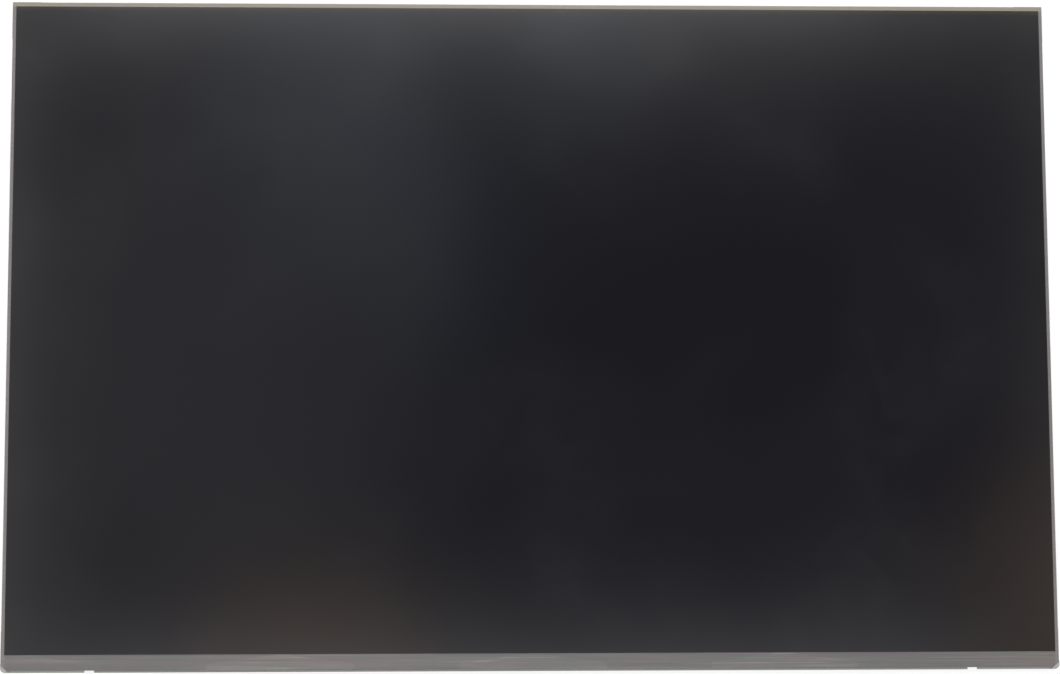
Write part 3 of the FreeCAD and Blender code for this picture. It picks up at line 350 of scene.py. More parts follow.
DRIVER_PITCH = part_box("source_film_2")[0].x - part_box("source_film_1")[0].x
BOND_HALF = 15.5 * MM
FAN_FOOT = -96.2 * MM
FAN_TOP = -93.4 * MM
FAN_WIRES = 130
FAN_EDGE = (0.96, 1.0)
BUS_PITCH = 0.21 * MM
BUS_ENDS = (1.5 * DRIVER_PITCH, 1.6 * DRIVER_PITCH)
BUS_LIT = (0.4, 0.6)
GATE_HEIGHT = 0.33 * MM
GATE_WIDTH = 0.12 * MM
SIDE_MARGIN = (151.8 * MM, 152.0 * MM)
UPPER_MARGIN = (96.8 * MM, 97.0 * MM)
SHEEN_SPAN = (0.35, 0.65)
PALE_SPAN = (0.5, 0.72)
GLINT_SPAN = (0.55, 0.70)
WIRING_GREENISH = (0.118, 0.126, 0.113, 1)
WIRING_REDDISH = (0.147, 0.118, 0.130, 1)
WIRING_PALE = (0.21, 0.206, 0.196, 1)
GLINT = (0.27, 0.265, 0.25, 1)
GLINTS_IN_FAN = 0.4
FAN_SHADE = (0.085, 0.085, 0.088, 1)
BUS_BRIGHT = (0.29, 0.283, 0.272, 1)
GATE_DARK = (0.165, 0.150, 0.148, 1)
GATE_LIGHT = (0.246, 0.228, 0.225, 1)
UPPER_RIM = (0.28, 0.238, 0.199, 1)
GLASS_EDGE = (0.12, 0.146, 0.135, 1)
wired_glass, tree, shader = new_finish("wired_glass", {"Coat Weight": 0.45, "Coat Roughness": 0.06})
place = axes(tree)
across, up = place["X"], place["Y"]
turn = calc(tree, "FRACT", calc(tree, "DIVIDE", across, DRIVER_PITCH))
from_middle = calc(tree, "MULTIPLY", calc(tree, "SUBTRACT", turn, 0.5), DRIVER_PITCH)
fan_half = spread(tree, up, FAN_FOOT, FAN_TOP, BOND_HALF, DRIVER_PITCH / 2, "LINEAR")
share = calc(tree, "DIVIDE", from_middle, fan_half)
in_fan = spread(tree, calc(tree, "ABSOLUTE", share), *FAN_EDGE, 1.0, 0.0)
fan_wires = calc(tree, "MULTIPLY", lines_of(tree, share, 1 / FAN_WIRES), in_fan)
beside = calc(tree, "ABSOLUTE", across)
inner = spread(tree, beside, *BUS_ENDS, 1.0, 0.0)
between = calc(tree, "MULTIPLY", calc(tree, "SUBTRACT", 1.0, in_fan), inner)
bus_wires = calc(tree, "MULTIPLY", lines_of(tree, up, BUS_PITCH, 0.55), between)
streaks = grain_of(tree, per_metre=(18.0, 5200.0, 1.0))
sheen = grain_of(tree, per_metre=(45.0, 900.0, 1.0))
# Painted highlight: pale glint streaks painted into the base colour, strongest between the fans.
glints = spread(tree, grain_of(tree, per_metre=(26.0, 2300.0, 1.0)), *GLINT_SPAN)
glints = calc(tree, "MULTIPLY", glints, spread(tree, between, 0.0, 1.0, GLINTS_IN_FAN, 1.0))
wiring_and_painted_glints = tint(tree, spread(tree, sheen, *SHEEN_SPAN), WIRING_GREENISH, WIRING_REDDISH)
wiring_and_painted_glints = tint(tree, spread(tree, streaks, *PALE_SPAN), wiring_and_painted_glints, WIRING_PALE)
wiring_and_painted_glints = tint(tree, glints, wiring_and_painted_glints, GLINT, most=0.9)
wiring_and_painted_glints = tint(tree, fan_wires, wiring_and_painted_glints, FAN_SHADE, most=0.22)
lit_bus = calc(tree, "MULTIPLY", bus_wires, spread(tree, streaks, *BUS_LIT))
wiring_and_painted_glints = tint(tree, lit_bus, wiring_and_painted_glints, BUS_BRIGHT, most=0.28)
gate_cells = calc(tree, "MULTIPLY", lines_of(tree, up, GATE_HEIGHT), lines_of(tree, across, GATE_WIDTH))
gates = tint(tree, gate_cells, GATE_DARK, GATE_LIGHT)
wiring_and_painted_glints = tint(tree, spread(tree, beside, *SIDE_MARGIN), wiring_and_painted_glints, gates)
wiring_and_painted_glints = tint(tree, spread(tree, up, *UPPER_MARGIN), wiring_and_painted_glints, UPPER_RIM)
feed(tree, shader, {
    "Base Color": tint(tree, on_faces(tree), GLASS_EDGE, wiring_and_painted_glints),
    "Roughness": graded(tree, streaks, 0.32, 0.24),
})
dress(wired_glass, "tft_glass")


# The polarizers are dark stretched films laminated to the cell. The front one ends in a hard anti-glare
# coat, whose micro-relief blurs what it mirrors; the rear one is smooth.
FILM_DARK = (0.0024, 0.0016, 0.0046, 1)
FILM_LIGHT = (0.0044, 0.0034, 0.0068, 1)
FILM_SMEAR = (0.0080, 0.0074, 0.0100, 1)
UPPER_BORDER = (0.0190, 0.0135, 0.0050, 1)
BORDER_FADE = (95.5 * MM, 96.4 * MM)
SMEAR_DULLING = 0.04
ANTI_GLARE_RELIEF = 0.35e-6
anti_glare, tree, shader = new_finish("anti_glare_film", {"IOR": 1.5})
sparkle = grain_of(tree, per_metre=(9000.0, 9000.0, 1.0))
marks = marks_of(tree, per_metre=14.0)
film = tint(tree, sparkle, FILM_DARK, FILM_LIGHT)
film = tint(tree, marks, film, FILM_SMEAR, most=0.5)
in_border = spread(tree, axes(tree)["Y"], *BORDER_FADE)
feed(tree, shader, {
    "Base Color": tint(tree, in_border, film, UPPER_BORDER),
    "Roughness": plus(tree, graded(tree, sparkle, 0.13, 0.16), marks, SMEAR_DULLING),
    "Normal": relief(tree, sparkle, ANTI_GLARE_RELIEF),
})
dress(anti_glare, "front_polarizer")

REAR_DARK = (0.01, 0.011, 0.012, 1)
REAR_LIGHT = (0.02, 0.021, 0.023, 1)
rear_film, tree, shader = new_finish("rear_polarizer", {"Roughness": 0.14})
stretch_lines = grain_of(tree, per_metre=(30.0, 4000.0, 1.0))
feed(tree, shader, {"Base Color": tint(tree, stretch_lines, REAR_DARK, REAR_LIGHT)})
dress(rear_film, "rear_polarizer")


# Four driver films are bonded to the front glass, bend round the panel's lower edge and end on the board.
# They are amber polyimide with fine copper lines, and each carries a bare silicon chip.
DRIVER_LINE_PITCH = 0.16 * MM
driver_films = [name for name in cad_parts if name.startswith("source_film")]
dress(amber_circuit("driver_film", "X", DRIVER_LINE_PITCH), *driver_films)

SILICON_DARK = (0.062, 0.065, 0.075, 1)
SILICON_LIGHT = (0.085, 0.09, 0.102, 1)
silicon, tree, shader = new_finish("silicon", {"Metallic": 0.35})
sawn = grain_of(tree, per_metre=(6000.0, 300.0, 300.0))
feed(tree, shader, {
    "Base Color": tint(tree, sawn, SILICON_DARK, SILICON_LIGHT),
    "Roughness": graded(tree, sawn, 0.22, 0.36),
})
dress(silicon, *[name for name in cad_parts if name.startswith("source_chip")])


# The guard tape is a grey polyester tape, cut to the room between the frame's lower corners and folded round
# the films' bend. It sticks to their outside, shields the bend and is seen as the panel's lower edge.
guard_tape = grained(
    "grey_tape", dark=(0.215, 0.210, 0.205, 1), light=(0.275, 0.269, 0.262, 1),
    stretch=(1600.0, 5000.0, 5000.0), roughness=(0.40, 0.52), depth=2.5e-6,
)
dress(guard_tape, "guard_tape")


# The control board is a thin glass-epoxy board under green solder mask, held on the plate by black tape.
# Copper runs show through the mask as raised lighter lines, and plated holes join its layers.
MASK_GREEN = ((0.008, 0.070, 0.026, 1), (0.010, 0.082, 0.031, 1))
RUN_GREEN = (0.020, 0.150, 0.058, 1)
RING_GREEN = (0.055, 0.24, 0.10, 1)
HOLE_GREEN = (0.006, 0.03, 0.012, 1)
LAMINATE = ((0.33, 0.30, 0.14, 1), (0.42, 0.38, 0.19, 1))
WEAVE_PITCH = 0.45 * MM
RUN_PITCHES = (("X", "Y", 0.42 * MM, 3.0), ("Y", "X", 0.5 * MM, 11.0))
RUN_WIDTH = 0.42
RUN_ENDS = (0.5, 0.53)
BREAKS_PER_METRE = 330.0
LANE_SHIFT = 7.31
BOARD_RELIEF = 9e-6
board_finish, tree, shader = new_finish("circuit_board", {"Coat Weight": 0.25, "Coat Roughness": 0.2})
place = axes(tree)
runs = []
for along, across, pitch, seed in RUN_PITCHES:
    lane = calc(tree, "FLOOR", calc(tree, "ADD", calc(tree, "DIVIDE", place[across], pitch), 0.5))
    path = node(tree, "CombineXYZ", {
        0: calc(tree, "MULTIPLY", place[along], BREAKS_PER_METRE),
        1: calc(tree, "MULTIPLY", lane, LANE_SHIFT),
        2: seed,
    }).outputs[0]
    present = node(tree, "TexNoise", {"Vector": path, "Scale": 1.0, "Detail": 0.0}).outputs[0]
    lines = lines_of(tree, place[across], pitch, RUN_WIDTH)
    runs.append(calc(tree, "MULTIPLY", lines, spread(tree, present, *RUN_ENDS)))
copper = calc(tree, "MAXIMUM", *runs)
pattern = {"Vector": place_on(tree), "Scale": 700.0, "Randomness": 0.9}
from_hole = node(tree, "TexVoronoi", pattern).outputs["Distance"]
hole_ring = spread(tree, from_hole, 0.13, 0.16, 1.0, 0.0)
hole = spread(tree, from_hole, 0.06, 0.08, 1.0, 0.0)
weave = lines_of(tree, place["X"], WEAVE_PITCH)
mask = tint(tree, weave, *MASK_GREEN)
mask = tint(tree, copper, mask, RUN_GREEN)
mask = tint(tree, hole_ring, mask, RING_GREEN)
mask = tint(tree, hole, mask, HOLE_GREEN)
feed(tree, shader, {
    "Base Color": tint(tree, on_faces(tree), tint(tree, weave, *LAMINATE), mask),
    "Roughness": spread(tree, copper, 0.0, 1.0, 0.42, 0.33),
    "Normal": relief(tree, calc(tree, "MAXIMUM", copper, hole_ring), BOARD_RELIEF),
})
dress(board_finish, "control_board")

board_tape = grained(
    "board_tape", dark=(0.01, 0.01, 0.011, 1), light=(0.022, 0.022, 0.023, 1),
    stretch=(2500.0, 2500.0, 2500.0), roughness=(0.5, 0.65), depth=2e-6,
)
dress(board_tape, "board_tape")


# Test points are round gold-plated pads on the board's rear, left free of solder mask, where the factory's
# needles reach each supply and signal.
def new_piece(name, shape, material):
    """Makes the shape a piece of the panel, in its place and facing outwards."""
    bmesh.ops.recalc_face_normals(shape, faces=shape.faces)
    mesh = bpy.data.meshes.new(name)
    shape.to_mesh(mesh)
    shape.free()
    mesh.materials.append(material)
    piece = bpy.data.objects.new(name, mesh)
    bpy.context.scene.collection.objects.link(piece)
    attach(piece, "root")


gold = grained(
    "contact_gold", dark=(0.72, 0.48, 0.16, 1), light=(0.83, 0.60, 0.24, 1),
    stretch=(8000.0, 8000.0, 8000.0), roughness=(0.24, 0.36), depth=1e-6, values={"Metallic": 1.0},
)
BOARD_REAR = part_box("control_board")[0].z
PAD_RADIUS = 0.45 * MM
PAD_CROWN = 0.94
PAD_PLATING = 0.02 * MM
ROUND_STEPS = 20
TEST_ROWS = [
    (-118.0, -92.9, 5, 2.4), (-70.0, -86.4, 3, 2.2), (-46.0, -86.6, 5, 2.2), (-34.0, -92.4, 3, 2.2),
    (13.5, -92.6, 6, 2.4), (30.0, -87.2, 4, 2.2), (88.0, -87.0, 4, 2.0), (104.0, -92.6, 4, 2.4),
]
pads = bmesh.new()
for start, row, count, step in TEST_ROWS:
    for number in range(count):
        at = Vector(((start + number * step) * MM, row * MM, BOARD_REAR - PAD_PLATING / 2))
        bmesh.ops.create_cone(
            pads, cap_ends=True, segments=ROUND_STEPS, radius1=PAD_RADIUS * PAD_CROWN, radius2=PAD_RADIUS,
            depth=PAD_PLATING, matrix=Matrix.Translation(at),
        )
new_piece("test_pads", pads, gold)


# The display receptacle takes the lead from the computer: an ivory insulator of liquid crystal polymer,
# a folded shell of tinned steel soldered down at both ends, and thirty gold-plated contacts.
housing = grained(
    "connector_plastic", dark=(0.62, 0.58, 0.48, 1), light=(0.74, 0.70, 0.60, 1),
    stretch=(900.0, 7000.0, 7000.0), roughness=(0.38, 0.52), depth=2e-6,
)
dress(housing, "edp_housing")
tinned_steel = grained(
    "connector_steel", dark=(0.60, 0.60, 0.59, 1), light=(0.74, 0.74, 0.73, 1),
    stretch=(500.0, 6000.0, 6000.0), roughness=(0.22, 0.36), depth=1.2e-6, values={"Metallic": 1.0},
)
dress(tinned_steel, "edp_shell")
dress(gold, "edp_contacts")


def add_block(shape, centre, size, edge):
    """A block with rounded edges."""
    at = Matrix.Translation(centre) @ Matrix.Diagonal((*size, 1.0))
    corners = bmesh.ops.create_cube(shape, size=1.0, matrix=at)["verts"]
    sides = {side for corner in corners for side in corner.link_edges}
    bmesh.ops.bevel(
        shape, geom=list(sides), offset=edge, offset_type="OFFSET", affect="EDGES",
        segments=2, profile=0.5, material=-1,
    )


solder = grained(
    "solder", dark=(0.55, 0.56, 0.57, 1), light=(0.72, 0.73, 0.74, 1),
    stretch=(2600.0, 2600.0, 2600.0), roughness=(0.24, 0.42), depth=6e-6, values={"Metallic": 1.0},
)
shell_low, shell_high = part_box("edp_shell")
FOOT = Vector((0.7, 0.8, 0.12)) * MM
FOOT_EDGE = 0.04 * MM
FOOT_PLACES = (0.22, 0.78)
FLOW = Vector((1.3 * FOOT.x, 1.3 * FOOT.y, 0.05 * MM))
FLOW_EDGE = 0.02 * MM
FLOW_RISE = Vector((0.0, 0.0, 0.035)) * MM
anchors = bmesh.new()
for side, outwards in ((shell_low.x, -1), (shell_high.x, 1)):
    for share in FOOT_PLACES:
        row = shell_low.y + share * (shell_high.y - shell_low.y)
        at = Vector((side + outwards * FOOT.x / 2, row, BOARD_REAR - FOOT.z / 2))
        add_block(anchors, at, FOOT, FOOT_EDGE)
        add_block(anchors, at + FLOW_RISE, FLOW, FLOW_EDGE)
new_piece("shell_feet", anchors, solder)

SPRING_WIDTH = 0.7 * MM
SPRING_LENGTH = 0.9 * MM
SPRING_THICKNESS = 0.06 * MM
SPRING_PITCH = 5.6 * MM
SPRING_SETBACK = 1.15 * MM
SPRING_LEVEL = 0.14 * MM
SPRING_TILT = math.radians(-6)
blade = Matrix.Rotation(SPRING_TILT, 4, "X") @ Matrix.Diagonal((SPRING_WIDTH, SPRING_LENGTH, 1, 1))
springs = bmesh.new()
for step in (-1, 0, 1):
    middle = (shell_low.x + shell_high.x) / 2 + step * SPRING_PITCH
    at = Matrix.Translation((middle, shell_low.y + SPRING_SETBACK, SPRING_LEVEL))
    bmesh.ops.create_grid(springs, x_segments=1, y_segments=4, size=0.5, matrix=at @ blade)
bmesh.ops.solidify(springs, geom=springs.faces[:], thickness=SPRING_THICKNESS)
new_piece("shell_springs", springs, tinned_steel)


# The chips are square packages of black filled epoxy, soldered by pads along their edges. A small dimple
# marks the first pad of each.
epoxy = grained(
    "chip_package", dark=(0.014, 0.014, 0.015, 1), light=(0.030, 0.030, 0.031, 1),
    stretch=(5200.0, 5200.0, 5200.0), roughness=(0.46, 0.60), depth=4e-6,
)
CHIP_PADS = {"timing_chip": 13, "memory_chip": 4, "gamma_chip": 7, "power_chip": 9, "backlight_chip": 7}
TWO_SIDED = "memory_chip"
dress(epoxy, *CHIP_PADS)
PAD_PITCH = 0.5 * MM
PAD_LENGTH = 0.32 * MM
PAD_WIDTH = 0.24 * MM
FILLET_HEIGHT = 0.16 * MM
TOE_HEIGHT = 0.03 * MM
DIMPLE_INSET = 0.14
DIMPLE_RADII = (0.05, 0.055)
DIMPLE_DEPTH = 0.008 * MM
DIMPLE_SHIFT = 0.002 * MM
joints = bmesh.new()
dimples = bmesh.new()
for chip, count in CHIP_PADS.items():
    low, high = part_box(chip)
    centre = (low + high) / 2
    side = high.x - low.x
    toe = side / 2 + PAD_LENGTH / 2
    level = BOARD_REAR - FILLET_HEIGHT / 2
    for quarter in (0, 2) if chip == TWO_SIDED else range(4):
        turn = Matrix.Rotation(quarter * math.pi / 2, 4, "Z")
        outwards = turn @ Vector((0, 1, 0))
        for number in range(count):
            shift = (number - (count - 1) / 2) * PAD_PITCH
            at = Matrix.Translation((centre.x, centre.y, level)) @ turn
            at = at @ Matrix.Translation((shift, toe, 0))
            at = at @ Matrix.Diagonal((PAD_WIDTH, PAD_LENGTH, FILLET_HEIGHT, 1))
            for corner in bmesh.ops.create_cube(joints, size=1.0, matrix=at)["verts"]:
                away = (corner.co - Vector((centre.x, centre.y, corner.co.z))).dot(outwards)
                if away > toe and corner.co.z < level:
                    corner.co.z = BOARD_REAR - TOE_HEIGHT
    inset = DIMPLE_INSET * side
    at = Matrix.Translation((low.x + inset, high.y - inset, low.z - DIMPLE_SHIFT))
    bmesh.ops.create_cone(
        dimples, cap_ends=True, segments=ROUND_STEPS, radius1=DIMPLE_RADII[0] * side,
        radius2=DIMPLE_RADII[1] * side, depth=DIMPLE_DEPTH, matrix=at,
    )
new_piece("solder_joints", joints, solder)
pin_mark = grained(
    "pin_mark", dark=(0.10, 0.10, 0.10, 1), light=(0.16, 0.16, 0.158, 1),
    stretch=(6000.0, 6000.0, 6000.0), roughness=(0.3, 0.42), depth=2e-6,
)
new_piece("pin_marks", dimples, pin_mark)


# Power inductors are square ferrite drums wound with wire and dipped in grey resin, with two tinned plates
# that run up their ends.
ferrite = grained(
    "ferrite", dark=(0.045, 0.046, 0.048, 1), light=(0.085, 0.086, 0.088, 1),
    stretch=(3200.0, 3200.0, 3200.0), roughness=(0.46, 0.64), depth=8e-6,
)
dress(ferrite, "power_inductors")
INDUCTOR_SIDE = 3.0 * MM
INDUCTOR_GAP = 1.0 * MM
END_PLATE = Vector((2.2, 0.36, 0.64)) * MM
END_PLATE_EDGE = 0.08 * MM
END_PLATE_SINK = 0.14 * MM
inductors_low, inductors_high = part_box("power_inductors")
row = (inductors_low.y + inductors_high.y) / 2
plates = bmesh.new()
for chip, number in (("backlight_chip", 0), ("power_chip", 0), ("power_chip", 1)):
    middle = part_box(chip)[0].x - (number + 0.5) * (INDUCTOR_SIDE + INDUCTOR_GAP) - INDUCTOR_GAP / 2
    for way in (-1, 1):
        end = row + way * (INDUCTOR_SIDE / 2 - END_PLATE_SINK)
        add_block(plates, Vector((middle, end, BOARD_REAR - END_PLATE.z / 2)), END_PLATE, END_PLATE_EDGE)
new_piece("inductor_plates", plates, solder)


# Chip capacitors are fired blocks of brown ceramic and chip resistors are white alumina with a black
# glaze. Both have tinned caps on their two ends.
ceramic = grained(
    "capacitor_ceramic", dark=(0.30, 0.185, 0.10, 1), light=(0.40, 0.26, 0.15, 1),
    stretch=(3800.0, 3800.0, 3800.0), roughness=(0.36, 0.5), depth=3e-6,
)
dress(ceramic, "chip_capacitors")
ALUMINA = ((0.62, 0.62, 0.60, 1), (0.74, 0.74, 0.72, 1))
GLAZE = ((0.012, 0.012, 0.013, 1), (0.024, 0.024, 0.026, 1))
resistor, tree, shader = new_finish("resistor_glaze", {"Roughness": 0.32})
speck = grain_of(tree, per_metre=(7000.0, 7000.0, 7000.0))
downwards = spread(tree, axes(tree, "Normal")["Z"], -0.6, -0.4, 1.0, 0.0)
glazed = tint(tree, downwards, tint(tree, speck, *ALUMINA), tint(tree, speck, *GLAZE))
feed(tree, shader, {"Base Color": glazed})
dress(resistor, "chip_resistors")

BOARD_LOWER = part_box("control_board")[0].y
BOARD_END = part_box("control_board")[1].x
ROW_CHIPS = ["timing_chip", "gamma_chip", "power_chip", "backlight_chip"]
ROW_GAP = 1.2 * MM
END_ROW = 3.6 * MM
CAP_PROUD = 0.015 * MM
CAP_EDGE = 0.05 * MM
KINDS = {
    "capacitor_caps": {
        "count": 5, "length": 1.6, "width": 0.8, "height": 0.7, "cap": 0.36,
        "pitch": 1.6, "row": 7.4, "inset": 8.0,
    },
    "resistor_caps": {
        "count": 6, "length": 1.0, "width": 0.5, "height": 0.35, "cap": 0.22,
        "pitch": 1.3, "row": 3.0, "inset": 18.0,
    },
}
for name, kind in KINDS.items():
    size = {key: value * MM for key, value in kind.items() if key != "count"}
    starts = [(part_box(chip)[1].x + ROW_GAP, 1, size["row"]) for chip in ROW_CHIPS]
    starts += [(size["inset"] - BOARD_END, 1, END_ROW), (BOARD_END - size["inset"], -1, END_ROW)]
    cap = Vector((size["width"] + 2 * CAP_PROUD, size["cap"] + CAP_PROUD, size["height"] + CAP_PROUD))
    reach = (size["length"] - size["cap"] + CAP_PROUD) / 2
    caps = bmesh.new()
    for start, way, row in starts:
        for number in range(kind["count"]):
            middle = start + way * number * size["pitch"]
            for end in (-reach, reach):
                at = Vector((middle, BOARD_LOWER + row + end, BOARD_REAR - cap.z / 2))
                add_block(caps, at, cap, CAP_EDGE)
    new_piece(name, caps, solder)


# The cover film is clear polyester, bent over the board, glued along both its edges and cut out round the
# receptacle. It is glossy, with a slight haze.
HAZE_DARK = (0.42, 0.45, 0.48, 1)
HAZE_LIGHT = (0.56, 0.58, 0.60, 1)
cover, tree, shader = new_finish("clear_film", {"Alpha": 0.13, "IOR": 1.57})
haze = grain_of(tree, per_metre=(60.0, 900.0, 900.0))
feed(tree, shader, {
    "Base Color": tint(tree, haze, HAZE_DARK, HAZE_LIGHT),
    "Roughness": graded(tree, haze, 0.06, 0.16),
})
dress(cover, "cover_film")


# Three earthing tapes tie the cover's edge to the back plate. They are strips of soft aluminium foil with
# conducting glue, stuck and rubbed down by hand over the film's upper lip.
FOIL_DARK = (0.67, 0.67, 0.67, 1)
FOIL_LIGHT = (0.80, 0.80, 0.80, 1)
FOIL_DULLING = 0.16
FOIL_RELIEF = 9e-6
DENT_HEIGHT = 5.0
foil, tree, shader = new_finish("earthing_foil", {"Metallic": 1.0})
rubbed = grain_of(tree, per_metre=(320.0, 3600.0, 320.0))
dents = grain_of(tree, per_metre=(900.0, 420.0, 900.0))
feed(tree, shader, {
    "Base Color": tint(tree, graded(tree, rubbed), FOIL_DARK, FOIL_LIGHT),
    "Roughness": plus(tree, graded(tree, dents, 0.22, 0.36), marks_of(tree, per_metre=60.0), FOIL_DULLING),
    "Normal": relief(tree, plus(tree, rubbed, dents, DENT_HEIGHT), FOIL_RELIEF),
})
TAPE_PLACES = [-104.0 * MM, -22.0 * MM, 106.0 * MM]
TAPE_WIDTH = 13.0 * MM
TAPE_THICKNESS = 0.05 * MM
FILM_THICKNESS = 0.05 * MM
ON_FILM = 2.6 * MM
STEP_DOWN = 0.35 * MM
ON_PLATE = 4.4 * MM
film_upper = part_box("cover_film")[1].y
plate_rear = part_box("cover_film")[1].z
film_rear = plate_rear - FILM_THICKNESS
stations = [
    (film_upper - ON_FILM, film_rear), (film_upper, film_rear),
    (film_upper + STEP_DOWN, plate_rear), (film_upper + ON_PLATE, plate_rear),
]
tapes = bmesh.new()
for middle in TAPE_PLACES:
    ends = [tapes.verts.new((middle + way * TAPE_WIDTH / 2, *stations[0])) for way in (-1, 1)]
    edge = tapes.edges.new(ends)
    for (row, level), (next_row, next_level) in zip(stations, stations[1:]):
        grown = bmesh.ops.extrude_edge_only(tapes, edges=[edge])["geom"]
        sides = [item for item in grown if isinstance(item, bmesh.types.BMEdge) and item.is_boundary]
        edge = next(side for side in sides if all(corner in grown for corner in side.verts))
        bmesh.ops.translate(tapes, verts=list(edge.verts), vec=(0.0, next_row - row, next_level - level))
bmesh.ops.recalc_face_normals(tapes, faces=tapes.faces[:])
for face in tapes.faces:
    if face.normal.z > 0:
        face.normal_flip()
bmesh.ops.solidify(tapes, geom=tapes.faces[:], thickness=-TAPE_THICKNESS)
new_piece("earthing_tapes", tapes, foil)


# The floor is a matt white studio sweep, which curves up all round into a backdrop. From below it is clear,
# and so it is to what leaves the panel's own underside, so that its back can be seen too.
FLOOR_DROP = 0.1 * MM
FLOOR_RADIUS = 2.2
CURVE_RADIUS = 0.8
CURVE_TURNS = [math.radians(12 * step) for step in range(8)]
ROUND_PARTS = 72
sweep = bmesh.new()
profile = [sweep.verts.new((0.0, 0.0, -FLOOR_DROP))]
profile += [
    sweep.verts.new((
        FLOOR_RADIUS + math.sin(turn) * CURVE_RADIUS, 0.0, -FLOOR_DROP + (1 - math.cos(turn)) * CURVE_RADIUS,
    ))
    for turn in CURVE_TURNS
]
edges = [sweep.edges.new(pair) for pair in zip(profile, profile[1:])]
bmesh.ops.spin(
    sweep, geom=profile + edges, cent=(0, 0, 0), axis=(0, 0, 1), dvec=(0, 0, 0),
    angle=2 * math.pi, steps=ROUND_PARTS, use_merge=True,
)
bmesh.ops.remove_doubles(sweep, verts=sweep.verts[:], dist=1e-6)
bmesh.ops.recalc_face_normals(sweep, faces=sweep.faces[:])
if sum(face.normal.z for face in sweep.faces) < 0:
    bmesh.ops.reverse_faces(sweep, faces=sweep.faces[:])
mesh = bpy.data.meshes.new("floor")
sweep.to_mesh(mesh)
sweep.free()
floor = bpy.data.objects.new("floor", mesh)
bpy.context.scene.collection.objects.link(floor)

PAPER_GREY = (0.34, 0.34, 0.34, 1)
PAPER_GLOW = (1.0, 1.0, 1.0, 1)
UNSEEN_GLOW = 0.4
SEEN_GLOW = 0.72
UNDERSIDE_REACH = 12 * MM
paper = bpy.data.materials.new("floor_paper")
paper.use_nodes = True
tree = paper.node_tree
tree.nodes.clear()
path = node(tree, "LightPath").outputs
mirrored = calc(tree, "MAXIMUM", path["Is Glossy Ray"], path["Is Transmission Ray"])
seen = calc(tree, "MAXIMUM", path["Is Camera Ray"], mirrored)
strength = spread(tree, seen, 0.0, 1.0, UNSEEN_GLOW, SEEN_GLOW, "LINEAR")
glow = node(tree, "Emission", {"Color": PAPER_GLOW, "Strength": strength})
coat = node(tree, "BsdfDiffuse", {"Color": PAPER_GREY})
front = node(tree, "AddShader", {0: glow.outputs[0], 1: coat.outputs[0]})
behind = node(tree, "NewGeometry").outputs["Backfacing"]
under = calc(tree, "LESS_THAN", path["Ray Length"], UNDERSIDE_REACH)
open_side = calc(tree, "MAXIMUM", behind, under)
clear = node(tree, "BsdfTransparent")
sided = node(tree, "MixShader", {0: open_side, 1: front.outputs[0], 2: clear.outputs[0]})
node(tree, "OutputMaterial", {"Surface": sided.outputs[0]})
mesh.materials.append(paper)


# The room is a grey studio with a darker ceiling. Two large soft boxes at the sides give the main light, and
# a few dim cards overhead are what the anti-glare film mirrors.
CEILING_SPAN = (0.70, 0.93)
CEILING_STRENGTH = (0.55, 0.11)
CELLAR_SPAN = (-1.0, -0.1)
CELLAR_STRENGTH = (0.45, 1.2)
WALL_COLOUR = (0.98, 0.99, 1.0, 1)
CEILING_COLOUR = (0.78, 0.92, 1.0, 1)
world = bpy.data.worlds.new("studio")
bpy.context.scene.world = world
world.use_nodes = True
tree = world.node_tree
upwards = node(tree, "SeparateXYZ", {0: node(tree, "TexCoord").outputs["Generated"]}).outputs["Z"]
ceiling = spread(tree, upwards, *CEILING_SPAN, *CEILING_STRENGTH)
cellar = spread(tree, upwards, *CELLAR_SPAN, *CELLAR_STRENGTH)
overhead = spread(tree, upwards, *CEILING_SPAN)
feed(tree, tree.nodes["Background"], {
    "Strength": calc(tree, "MULTIPLY", ceiling, cellar),
    "Color": tint(tree, overhead, WALL_COLOUR, CEILING_COLOUR),
})

WHITE = (1.0, 1.0, 1.0)
CREAM = (1.0, 0.95, 0.88)
WARM = (1.0, 0.60, 0.25)
COOL = (0.64, 0.84, 1.0)


def soft_box(name, place, aim, size, radiance, colour=WHITE, shape="RECTANGLE"):
    """An area light of that size and brightness, turned towards a point."""
    lamp = bpy.data.lights.new(name, "AREA")
    lamp.shape = shape
    lamp.size, lamp.size_y = size
    area = size[0] * size[1] * (math.pi / 4 if shape == "ELLIPSE" else 1.0)
    lamp.energy = radiance * math.pi * area
    lamp.color = colour
    light = bpy.data.objects.new(name, lamp)
    light.location = place
    light.rotation_euler = (Vector(aim) - Vector(place)).to_track_quat("-Z", "Y").to_euler()
    bpy.context.scene.collection.objects.link(light)


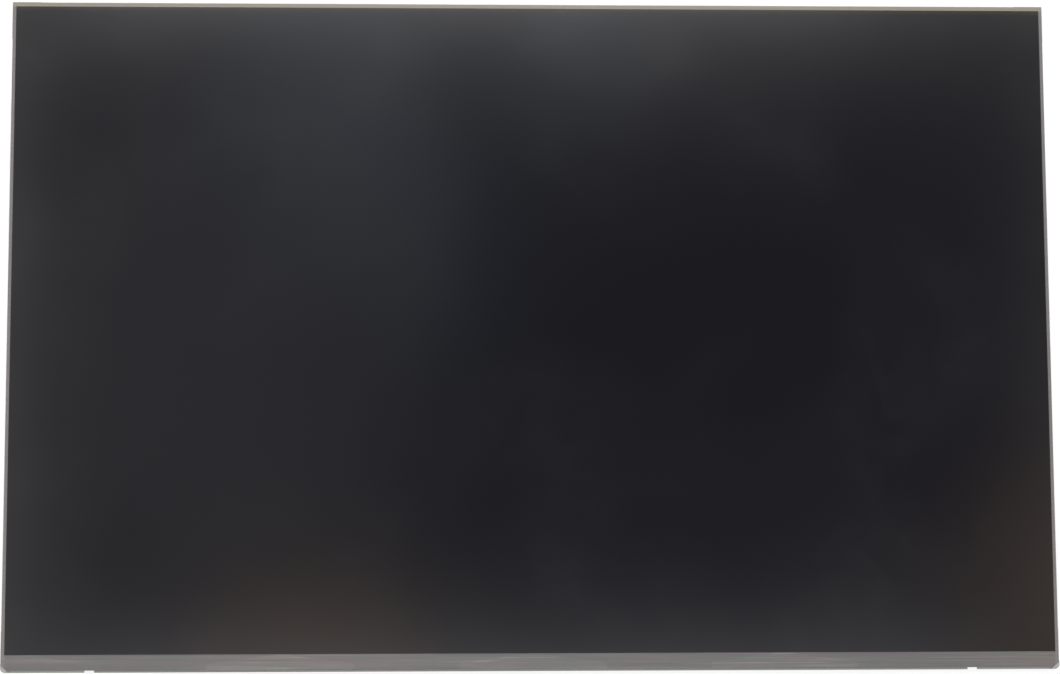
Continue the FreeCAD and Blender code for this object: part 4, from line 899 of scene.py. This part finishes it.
CENTRE = (0.0, 0.0, 0.0)
soft_box("key_left", (-1.5, -0.5, 1.1), CENTRE, (1.0, 1.0), radiance=1.9)
soft_box("key_right", (1.5, -0.6, 1.1), CENTRE, (1.0, 1.0), radiance=1.85)
soft_box("back_light", (0.0, 1.6, 0.9), CENTRE, (1.4, 0.6), radiance=1.4)
soft_box("under_left", (-1.0, 0.7, -1.2), CENTRE, (1.8, 1.8), radiance=1.0)
soft_box("under_right", (1.2, -0.5, -1.0), CENTRE, (1.4, 1.4), radiance=1.2)

CARD_HEIGHT = 1.5
CARDS = [
    ("upper_card", 0.00, 0.70, 0.70, 0.42, 5.4, WHITE, "RECTANGLE"),
    ("far_card", 0.54, 0.64, 0.38, 0.26, 3.9, CREAM, "RECTANGLE"),
    ("left_card", -0.63, 0.19, 0.44, 0.80, 2.35, CREAM, "RECTANGLE"),
    ("lower_card", 0.03, -0.31, 0.80, 0.40, 2.55, WHITE, "RECTANGLE"),
    ("right_card", 0.64, 0.14, 0.20, 0.56, 1.7, CREAM, "RECTANGLE"),
    ("warm_card", -0.13, -0.10, 0.20, 0.14, 1.0, WARM, "ELLIPSE"),
    ("corner_card", 0.53, -0.06, 0.20, 0.28, 0.70, WARM, "ELLIPSE"),
    ("veil_card", -0.20, 0.17, 0.32, 0.36, 0.31, WHITE, "ELLIPSE"),
    ("cool_card", -0.11, 0.27, 0.20, 0.36, 0.70, COOL, "ELLIPSE"),
    ("spot_card", 0.095, 0.43, 0.06, 0.06, 1.6, COOL, "ELLIPSE"),
]
for name, across, up, width, depth, radiance, colour, shape in CARDS:
    soft_box(name, (across, up, CARD_HEIGHT), (across, up, 0.0), (width, depth), radiance, colour, shape)


# The camera looks down on the panel from about 0.8 m above its lower edge, a little to the left of the
# middle. It has a long lens, so the panel's sides lean only slightly.
SENSOR_WIDTH = 36.0
LENS = 93.065
CAMERA_PLACE = (-29.74 * MM, -97.83 * MM, 800.15 * MM)
CAMERA_TURN = (6.910, -2.066, -0.225)
camera = bpy.data.cameras.new("camera")
camera.sensor_fit = "HORIZONTAL"
camera.sensor_width = SENSOR_WIDTH
camera.lens = LENS
viewer = bpy.data.objects.new("camera", camera)
viewer.location = CAMERA_PLACE
viewer.rotation_euler = [math.radians(angle) for angle in CAMERA_TURN]
bpy.context.scene.collection.objects.link(viewer)
bpy.context.scene.camera = viewer
bpy.context.scene.view_settings.view_transform = "Standard"
